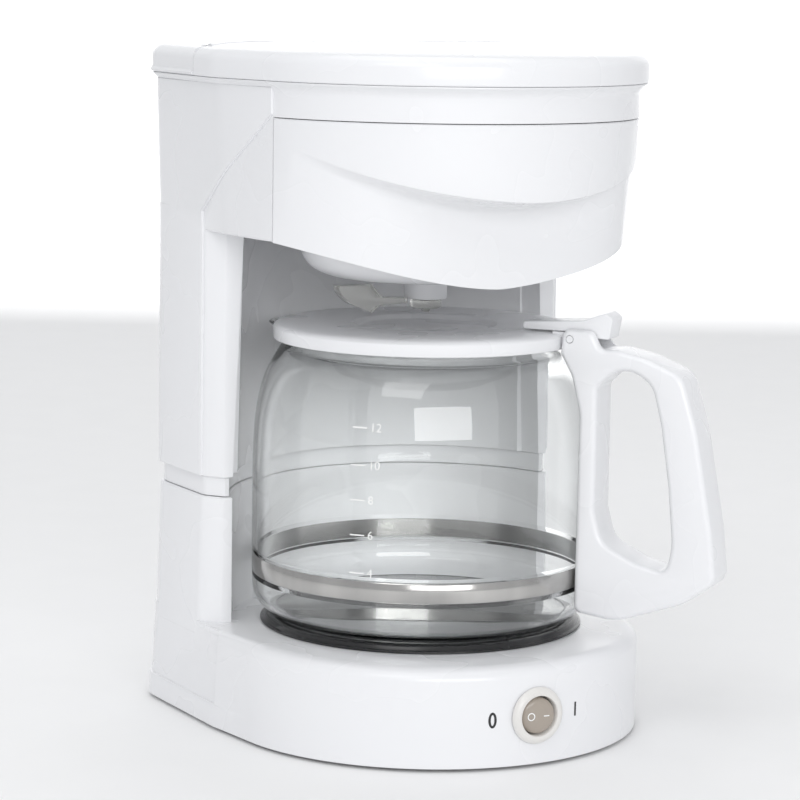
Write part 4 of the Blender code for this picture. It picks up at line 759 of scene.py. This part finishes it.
def basket_parts():
    outer, wall, z = BASKET_RADIUS, 0.0016, BASKET_BOTTOM
    bend = [Vector(p) for p in ((outer, 0.2180, 0), (outer - 0.0012, 0.2125, 0),
                                (outer - 0.0048, 0.2080, 0), (outer - 0.0120, z + 0.0008, 0),
                                (outer - 0.0200, z, 0))]
    curve = [(p.x, p.y) for p in smooth_path(bend, 4)]
    inner = [(r - wall * 0.9, h + wall * 0.8) for r, h in curve[::-1]]
    profile = [(outer - 0.0004, 0.2690), (outer, 0.2686), (outer, BASKET_FLANGE_Z + 0.0018),
               (0.0606, BASKET_FLANGE_Z + 0.0018), (0.0606, BASKET_FLANGE_Z),
               (outer, BASKET_FLANGE_Z)] + curve + [(0.0040, z), (0.0040, z + wall * 0.8)]
    profile += inner + [(outer - wall, 0.2240), (outer - wall, 0.2690)]
    piece("basket_bowl", lathe("basket_bowl", profile, 96), "drawer", WHITE,
          ("filter_basket",), 40)
    top = BASKET_BOTTOM - GAP
    profile = [(0.0112, top), (0.0112, top - 0.0018), (0.0108, top - 0.0024),
               (0.0099, top - 0.0030), (0.0097, 0.1944), (0.0093, 0.1938), (0.0080, 0.1938),
               (0.0080, top)]
    piece("spout_collar", lathe("spout_collar", profile, 64), "drawer", WHITE,
          ("drip_collar",), 40)
    profile = [(0.0, z + 0.0052), (0.0060, z + 0.0048), (0.0062, z + 0.0024), (0.0030, z + 0.0022),
               (0.0026, z + 0.0016), (0.0026, 0.1942), (0.0066, 0.1938), (0.0072, 0.1932),
               (0.0073, 0.1910), (0.0070, 0.1900), (0.0060, 0.1893), (0.0022, 0.1890),
               (0.0018, 0.1880), (0.0016, 0.1876), (0.0, 0.1876)]
    piece("valve_tip", lathe("valve_tip", profile, 64), "drip_stop", CLEAR,
          ("drip_valve",), 40)
    drip_lever()


def drip_lever():
    """Clear flap beside the spout: flat on top, drawn down to a rounded nose."""
    top = BASKET_BOTTOM - 0.0028
    nose = smooth_path([(-0.0463, top, 0), (-0.0448, 0.1972, 0), (-0.0395, 0.1928, 0),
                        (-0.0330, 0.1902, 0), (-0.0292, 0.1884, 0), (-0.0270, 0.1898, 0),
                        (-0.0240, 0.1914, 0), (-0.0110, 0.1922, 0)], 5)
    outline = [(p.x, p.y) for p in nose] + [(-0.0110, 0.1946), (-0.0240, 0.1952), (-0.0290, top)]
    plate = padded_plate("clear_flap", [outline], 0.0030, 0.0004, 2)
    placed(plate, handle_frame().inverted())
    piece("clear_flap", plate, "drip_stop", CLEAR, ("drip_lever",), 40)


# ---------------------------------------------------------------- carafe
SHOULDER_CURVE = [(0.0590, 0.1795), (0.0582, 0.1745), (0.0596, 0.1722), (0.0640, 0.1700),
                  (0.0690, 0.1655), (0.0725, 0.1590), (0.0752, 0.1500), (0.0772, 0.1370),
                  (GLASS_RADIUS, 0.1200), (GLASS_RADIUS, BAND_HIGH + 0.0022)]
HEEL_CURVE = [(GLASS_RADIUS - 0.0002, BAND_LOW - 0.0020), (0.0774, 0.0600), (0.0756, 0.0555),
              (0.0720, 0.0515), (0.0670, GLASS_FOOT)]


def curve_2d(points, per_span):
    return [(p.x, p.y) for p in smooth_path([(r, z, 0.0) for r, z in points], per_span)]


def glass_outline(groove=BAND_GROOVE):
    upper = curve_2d(SHOULDER_CURVE[:-1], 5) + [SHOULDER_CURVE[-1]]
    cut = []
    if groove:
        cut = [(GLASS_RADIUS - groove, BAND_HIGH + 0.0004),
               (GLASS_RADIUS - groove, BAND_LOW - 0.0004)]
    return upper + cut + curve_2d(HEEL_CURVE, 7) + [(0.0, GLASS_FOOT)]


def glass_radius(z):
    """Outer radius of the glass at a height."""
    line = glass_outline(0.0)
    for (r1, z1), (r2, z2) in zip(line, line[1:]):
        if z2 <= z <= z1:
            return r1 + (r2 - r1) * (z1 - z) / max(z1 - z2, 1e-9)
    return GLASS_RADIUS


def pull_spout(mesh):
    """Draws the mouth out into a pouring lip, opposite the handle."""
    way = Vector((-sin(HANDLE_ANGLE), cos(HANDLE_ANGLE), 0.0))
    start_z, rise, edge = 0.1640, 0.0150, cos(radians(34))
    for vertex in mesh.vertices:
        flat = Vector((vertex.co.x, vertex.co.y, 0.0))
        if flat.length < 0.040 or vertex.co.z < start_z:
            continue
        near = max(0.0, flat.normalized().dot(way) - edge) / (1 - edge)
        high = min(1.0, (vertex.co.z - start_z) / rise)
        vertex.co += way * (0.0175 * near ** 1.3 * high ** 1.6)
    return mesh


def carafe_glass():
    outer = glass_outline()
    plain = [Vector((r, z)) for r, z in glass_outline(0.0)]
    inner = [Vector((plain[0].x - GLASS_WALL, plain[0].y))]
    for before, here, after in zip(plain, plain[1:], plain[2:]):
        along = (after - before).normalized()
        inner.append(here + Vector((along.y, -along.x)) * GLASS_WALL)
    inner.append(Vector((0.0, plain[-1].y + GLASS_WALL)))
    mouth = [(plain[0].x - 0.0018, plain[0].y + 0.0005), (plain[0].x - 0.0011, plain[0].y + 0.0007),
             (plain[0].x - 0.0004, plain[0].y + 0.0005)]
    profile = [tuple(p) for p in inner[::-1]] + mouth + outer
    mesh = pull_spout(lathe("glass_jug", profile, 144))
    piece("glass_jug", mesh, "carafe", GLASS, ("carafe_glass",), 22)


def carafe_band():
    inner = GLASS_RADIUS - BAND_GROOVE + GAP
    outer = inner + 0.0008
    profile = [(outer - 0.0003, BAND_HIGH), (outer, BAND_HIGH - 0.0004), (outer, BAND_LOW + 0.0004),
               (outer - 0.0003, BAND_LOW), (inner, BAND_LOW), (inner, BAND_HIGH)]
    piece("steel_band", lathe("steel_band", profile, 144), "carafe", STREAKED_REFLECTION_STEEL,
          ("carafe_band",), 50)


def handle_frame():
    out = Vector((sin(HANDLE_ANGLE), -cos(HANDLE_ANGLE), 0.0))
    side = Vector((cos(HANDLE_ANGLE), sin(HANDLE_ANGLE), 0.0))
    return Matrix(((out.x, side.x, 0, 0), (out.y, side.y, 0, 0), (0, 0, 1, 0), (0, 0, 0, 1)))


def rounded(points, per_corner=8):
    """Polygon whose corners, given as (r, z, radius), are replaced by arcs."""
    out = []
    count = len(points)
    for i, (r, z, radius) in enumerate(points):
        here = Vector((r, z))
        if radius <= 0:
            out.append((r, z))
            continue
        before = (Vector(points[i - 1][:2]) - here).normalized()
        after = (Vector(points[(i + 1) % count][:2]) - here).normalized()
        half_angle = before.angle(after) / 2
        centre = here + (before + after).normalized() * radius / sin(half_angle)
        start = here + before * radius * cos(half_angle) / sin(half_angle) - centre
        end = here + after * radius * cos(half_angle) / sin(half_angle) - centre
        turn = start.angle_signed(end)
        for k in range(per_corner + 1):
            step = start.copy()
            step.rotate(Matrix.Rotation(-turn * k / per_corner, 2))
            out.append(tuple(centre + step))
    return out


def padded_plate(name, outlines, half_width, edge, resolution=3):
    """Plate with rounded edges from closed outlines; the second one is a hole."""
    curve = bpy.data.curves.new(name, "CURVE")
    curve.dimensions = "2D"
    curve.fill_mode = "BOTH"
    curve.extrude = half_width - edge
    curve.bevel_depth = edge
    curve.bevel_resolution = resolution
    curve.offset = -edge
    for outline in outlines:
        spline = curve.splines.new("POLY")
        spline.points.add(len(outline) - 1)
        for point, (r, z) in zip(spline.points, outline):
            point.co = (r, z, 0.0, 1.0)
        spline.use_cyclic_u = True
    holder = linked(name, curve)
    mesh = evaluated(name, holder)
    bpy.data.objects.remove(holder, do_unlink=True)
    bm = bmesh.new()
    bm.from_mesh(mesh)
    bmesh.ops.remove_doubles(bm, verts=bm.verts, dist=0.000005)
    bpy.data.meshes.remove(mesh)
    upright = Matrix(((1, 0, 0, 0), (0, 0, 1, 0), (0, 1, 0, 0), (0, 0, 0, 1)))
    bmesh.ops.transform(bm, matrix=handle_frame() @ upright, verts=bm.verts)
    return mesh_from_bmesh(name, bm)


def pin_body(name, radius, half_length):
    ends = [handle_frame() @ Vector((LID_PIN_RADIUS, side * half_length, LID_PIN_Z))
            for side in (-1, 1)]
    return cylinder(name, *ends, radius)


def carafe_handle():
    outer = rounded([
        (0.0780, 0.0578, 0.004), (0.0980, 0.0552, 0.03), (0.1288, 0.0660, 0.03),
        (0.1416, 0.0752, 0.003), (0.1432, 0.0790, 0.003), (0.1412, 0.0985, 0.08),
        (0.1330, 0.1430, 0.08), (0.1256, 0.1672, 0.010), (0.1085, 0.1742, 0.03),
        (0.0960, 0.1768, 0.012), (0.0880, 0.1765, 0.004), (0.0838, 0.1846, 0.0035),
        (0.0700, 0.1850, 0.0035), (0.0690, 0.1740, 0.0030), (0.0745, 0.1640, 0.010),
        (0.0785, 0.1480, 0.020)])
    window = rounded([
        (0.0866, 0.1600, 0.004), (0.0868, 0.1400, 0.05), (0.0868, 0.1040, 0.012),
        (0.0905, 0.0900, 0.012), (0.1060, 0.0826, 0.020), (0.1200, 0.0792, 0.004),
        (0.1230, 0.0900, 0.03), (0.1205, 0.1180, 0.08), (0.1164, 0.1450, 0.05),
        (0.1120, 0.1625, 0.012), (0.0985, 0.1708, 0.012)])
    body = padded_plate("handle_grip", [outer, window], HANDLE_HALF_WIDTH, 0.0024)
    wide = LID_RADIUS + 0.0006
    slot = placed(box("slot", (0.060, -0.0076, 0.1768), (0.098, 0.0076, 0.200)), handle_frame())
    clearance = [(0.0, 0.1790), (0.0640, 0.1790), (0.0640, 0.1700)]
    clearance += [(r + GAP, z) for r, z in glass_outline(0.0) if 0.0510 < z < 0.1690]
    clearance += [(0.0, 0.0510)]
    mesh = boolean(
        body, ("DIFFERENCE", slot), ("DIFFERENCE", lathe("glass_gap", clearance, 144)),
        ("DIFFERENCE", lathe("lid_gap", [(0.0, 0.19), (wide, 0.19), (wide, 0.17), (0.0, 0.17)])),
        ("DIFFERENCE", pin_body("pin_gap", PIN_BORE, 0.0120)))
    piece("handle_grip", mesh, "carafe", WHITE, ("carafe_handle",), 40)


def carafe_lid():
    top, z = 0.1822, LID_LOW
    profile = [(0.0, 0.1806), (0.0296, 0.1806), (0.0306, 0.1808), (0.0326, top + 0.0002),
               (0.0334, top + 0.0004), (0.0600, top + 0.0004), (0.0640, top + 0.0003),
               (0.0670, top - 0.0001), (0.0684, top - 0.0007), (LID_RADIUS, top - 0.0015),
               (LID_RADIUS, z + 0.0006), (LID_RADIUS - 0.0002, z + 0.0002),
               (LID_RADIUS - 0.0006, z), (0.0668, z), (0.0668, top - 0.0020),
               (0.0540, top - 0.0020), (0.0540, 0.1720), (0.0524, 0.1720), (0.0524, top - 0.0020),
               (0.0335, top - 0.0020), (0.0300, 0.1788), (0.0, 0.1788)]
    lug = placed(box("lug", (0.0640, -0.0070, 0.1776), (0.0780, 0.0070, 0.1832)), handle_frame())
    notch = placed(box("notch", (-0.0900, -0.0260, 0.1700), (-0.0570, 0.0260, 0.1800)),
                   handle_frame())
    mesh = boolean(lathe("lid_disc", profile, 128), ("UNION", lug), ("DIFFERENCE", notch),
                   ("DIFFERENCE", pin_body("bore", PIN_BORE, 0.0120)))
    piece("lid_disc", mesh, "carafe_cover", WHITE, ("carafe_lid",), 30)
    outline = rounded([(0.0500, 0.1836, 0.001), (0.0814, 0.1836, 0.0), (0.0840, 0.1810, 0.0),
                       (0.0905, 0.1810, 0.001), (0.0920, 0.1902, 0.002), (0.0885, 0.1926, 0.002),
                       (0.0780, 0.1886, 0.004), (0.0500, 0.1868, 0.001)], 5)
    lever = padded_plate("thumb_lever", [outline], 0.0070, 0.0005, 2)
    piece("thumb_lever", lever, "carafe_cover", WHITE, ("lid_lever",), 40)
    pin = pin_body("hinge_pin", 0.0016, 0.0110)
    piece("hinge_pin", pin, "carafe", WHITE, ("carafe_lid_pin",))


# ---------------------------------------------------------------- printed marks
INK = 0.00004               # thickness of a printed mark


def on_round(mesh, radius_at, angle, height, centre_y=0.0):
    """Wraps a flat mark, drawn in x and y, round the vertical axis at an angle and height."""
    for vertex in mesh.vertices:
        x, y, depth = vertex.co
        radius = radius_at(height + y)
        turn = angle + x / radius
        out = radius + INK + depth
        vertex.co = (out * sin(turn), centre_y - out * cos(turn), height + y)
    return mesh


def bar(name, width, height, shift=0.0, columns=10):
    """Thin slab, cut across so that it can follow a round surface."""
    bm = bmesh.new()
    bmesh.ops.create_grid(bm, x_segments=columns, y_segments=1, size=0.5)
    bmesh.ops.scale(bm, vec=(width, height, 1.0), verts=bm.verts)
    bmesh.ops.translate(bm, vec=(shift, 0.0, 0.0), verts=bm.verts)
    extruded = bmesh.ops.extrude_face_region(bm, geom=bm.faces[:])
    lifted = [v for v in extruded["geom"] if isinstance(v, bmesh.types.BMVert)]
    bmesh.ops.translate(bm, vec=(0.0, 0.0, INK), verts=lifted)
    return mesh_from_bmesh(name, bm)


def oval_ring(name, half_width, half_height, stroke, shift=0.0, steps=40):
    bm = bmesh.new()
    rings = []
    for a, b, z in ((half_width, half_height, 0.0), (half_width, half_height, INK),
                    (half_width - stroke, half_height - stroke, INK),
                    (half_width - stroke, half_height - stroke, 0.0)):
        rings.append([bm.verts.new((shift + a * cos(2 * pi * i / steps),
                                    b * sin(2 * pi * i / steps), z)) for i in range(steps)])
    for first, second in zip(rings, rings[1:] + rings[:1]):
        for i in range(steps):
            j = (i + 1) % steps
            bm.faces.new((first[i], first[j], second[j], second[i]))
    return mesh_from_bmesh(name, bm)


def digits(name, text, height):
    """Plain numerals as a thin solid, centred in height and starting at the left."""
    curve = bpy.data.curves.new(name, "FONT")
    curve.body = text
    curve.size = height * 1.40
    curve.align_x = "LEFT"
    curve.align_y = "CENTER"
    curve.extrude = INK / 2
    holder = linked(name, curve)
    mesh = evaluated(name, holder)
    bpy.data.objects.remove(holder, do_unlink=True)
    return mesh


def cup_marks():
    cups = ((12, 0.1448), (10, 0.1285), (8, 0.1132), (6, 0.0977), (4, 0.0809))
    for cup, height in cups:
        dash = on_round(bar(f"cup_dash_{cup}", 0.0068, 0.0006), glass_radius,
                        radians(-50.9), height)
        piece(f"cup_dash_{cup}", dash, "carafe", WHITE_INK)
        number = on_round(digits(f"cup_number_{cup}", str(cup), 0.0038), glass_radius,
                          radians(-47.4), height)
        piece(f"cup_number_{cup}", number, "carafe", WHITE_INK)


def switch_marks():
    """0 and I, the same way out to each side of the switch."""
    def drum(_height):
        return BASE_RADIUS

    centre_y = BASE_RADIUS - BASE_FRONT
    angle = asin(0.021 / BASE_RADIUS)
    zero = on_round(oval_ring("mark_off", 0.0019, 0.0035, 0.0011), drum, -angle,
                    SWITCH_Z - 0.0006, centre_y)
    piece("mark_off", zero, "machine", BLACK_INK)
    one = on_round(bar("mark_on", 0.0010, 0.0062), drum, angle, SWITCH_Z, centre_y)
    piece("mark_on", one, "machine", BLACK_INK)


# ---------------------------------------------------------------- rocker switch
def facing_front(mesh):
    return placed(mesh, Matrix.Translation((0.0, -BASE_FRONT, SWITCH_Z))
                  @ Matrix.Rotation(pi / 2, 4, "X"))


def tilted(mesh):
    axis = Matrix.Translation((0.0, ROCKER_AXIS_Y, 0.0))
    return placed(mesh, axis @ Matrix.Rotation(ROCKER_TILT, 4, "Z") @ axis.inverted())


def rocker_switch():
    profile = [(0.0088, 0.0020), (0.0091, 0.0025), (0.0100, 0.0027), (0.0109, 0.0025),
               (0.0117, 0.0019), (0.0123, 0.0012), (0.0126, 0.0006), (0.0126, 0.0003),
               (0.0104, 0.0003), (0.0104, -0.0080), (0.0088, -0.0080)]
    piece("switch_ring", facing_front(lathe("switch_ring", profile, 72)), "machine",
          WARM_WHITE, ("switch_bezel",), 40)
    face = 0.0024
    profile = [(0.0, face), (0.0056, face - 0.0002), (0.0070, face - 0.0006),
               (0.0077, face - 0.0012), (0.0080, face - 0.0020), (0.0080, -0.0020),
               (0.0076, -0.0036), (0.0, -0.0036)]
    button = tilted(facing_front(lathe("switch_button", profile, 64)))
    piece("switch_button", button, "rocker", SMOKE, ("switch_rocker",), 40)
    lift = Matrix.Translation((0.0, 0.0, face + 0.00002))
    circle = placed(oval_ring("button_ring", 0.0018, 0.0018, 0.0005, -0.0036), lift)
    line = placed(bar("button_line", 0.0026, 0.0005, 0.0036), lift)
    for name, mark in (("button_ring", circle), ("button_line", line)):
        piece(name, tilted(facing_front(mark)), "rocker", WHITE_INK)


# ---------------------------------------------------------------- stage, light, camera
CAMERA_AZIMUTH = radians(-29.81)


def stage():
    """Pale floor that curves up into a backdrop."""
    profile = [(-6.0, 0.0), (3.0, 0.0)] + [(3.0 + 1.5 * sin(a), 1.5 - 1.5 * cos(a))
                                           for a in [pi / 2 * i / 12 for i in range(1, 13)]]
    profile.append((4.5, 6.0))
    bm = bmesh.new()
    left = [bm.verts.new((-7.0, y, z)) for y, z in profile]
    right = [bm.verts.new((7.0, y, z)) for y, z in profile]
    for i in range(len(profile) - 1):
        bm.faces.new((left[i], right[i], right[i + 1], left[i + 1]))
    mesh = bpy.data.meshes.new("floor")
    bm.to_mesh(mesh)
    bm.free()
    mesh.shade_smooth()
    floor = linked("floor", mesh)
    floor.rotation_euler.z = CAMERA_AZIMUTH
    floor.location.z = -0.0002
    mesh.materials.append(matte("floor_paper", (0.93, 0.93, 0.93), (0.92, 0.92, 0.92), 0.85, 30,
                                0.0001))


def area_light(name, place, aim, size, power, colour=(1, 1, 1)):
    lamp = bpy.data.lights.new(name, "AREA")
    lamp.shape = "RECTANGLE"
    lamp.size, lamp.size_y = size
    lamp.energy = power
    lamp.color = colour
    made = linked(name, lamp)
    made.location = place
    made.rotation_euler = (Vector(aim) - Vector(place)).to_track_quat("-Z", "Y").to_euler()


def lights():
    world = bpy.data.worlds.new("studio")
    bpy.context.scene.world = world
    world.use_nodes = True
    background = world.node_tree.nodes["Background"]
    background.inputs["Color"].default_value = (0.97, 0.98, 1.0, 1.0)
    background.inputs["Strength"].default_value = 0.62
    area_light("front", (-0.7, -2.4, 0.80), (0, 0, 0.16), (1.8, 0.9), 18.0)
    area_light("backdrop", (0.9, 1.7, 1.4), (2.3, 4.1, 0.5), (1.5, 1.5), 55.0)
    area_light("key", (-1.3, -1.2, 2.0), (0, 0, 0.15), (1.2, 1.2), 9.0)
    area_light("top", (0.0, 0.2, 2.2), (0, 0, 0.1), (1.6, 1.6), 9.0)


def camera():
    """Seen from the front left, a little above, as on a product photograph."""
    distance, height = 1.32808, 0.34204
    yaw, pitch, roll = radians(-0.47), radians(8.37), radians(0.92)
    ahead = Vector((-sin(CAMERA_AZIMUTH), cos(CAMERA_AZIMUTH), 0.0))
    across = Vector((cos(CAMERA_AZIMUTH), sin(CAMERA_AZIMUTH), 0.0))
    heading = cos(yaw) * ahead + sin(yaw) * across
    right = cos(yaw) * across - sin(yaw) * ahead
    forward = cos(pitch) * heading + Vector((0.0, 0.0, -sin(pitch)))
    up = right.cross(forward)
    right, up = cos(roll) * right + sin(roll) * up, -sin(roll) * right + cos(roll) * up
    lens = bpy.data.cameras.new("camera")
    lens.lens = 132.27
    lens.sensor_width = 36.0
    made = linked("camera", lens)
    turn = Matrix((right, up, -forward)).transposed().to_4x4()
    place = Vector((0.0, AXIS_Y, height)) - ahead * distance
    made.matrix_world = Matrix.Translation(place) @ turn
    bpy.context.scene.camera = made


camera()
stage()
lights()
bpy.context.scene.view_settings.view_transform = "Standard"

base_housing()
warming_plate()
upper_housing()
lid_and_deck()
drawer_front()
basket_parts()
carafe_glass()
carafe_band()
carafe_handle()
carafe_lid()
cup_marks()
rocker_switch()
switch_marks()
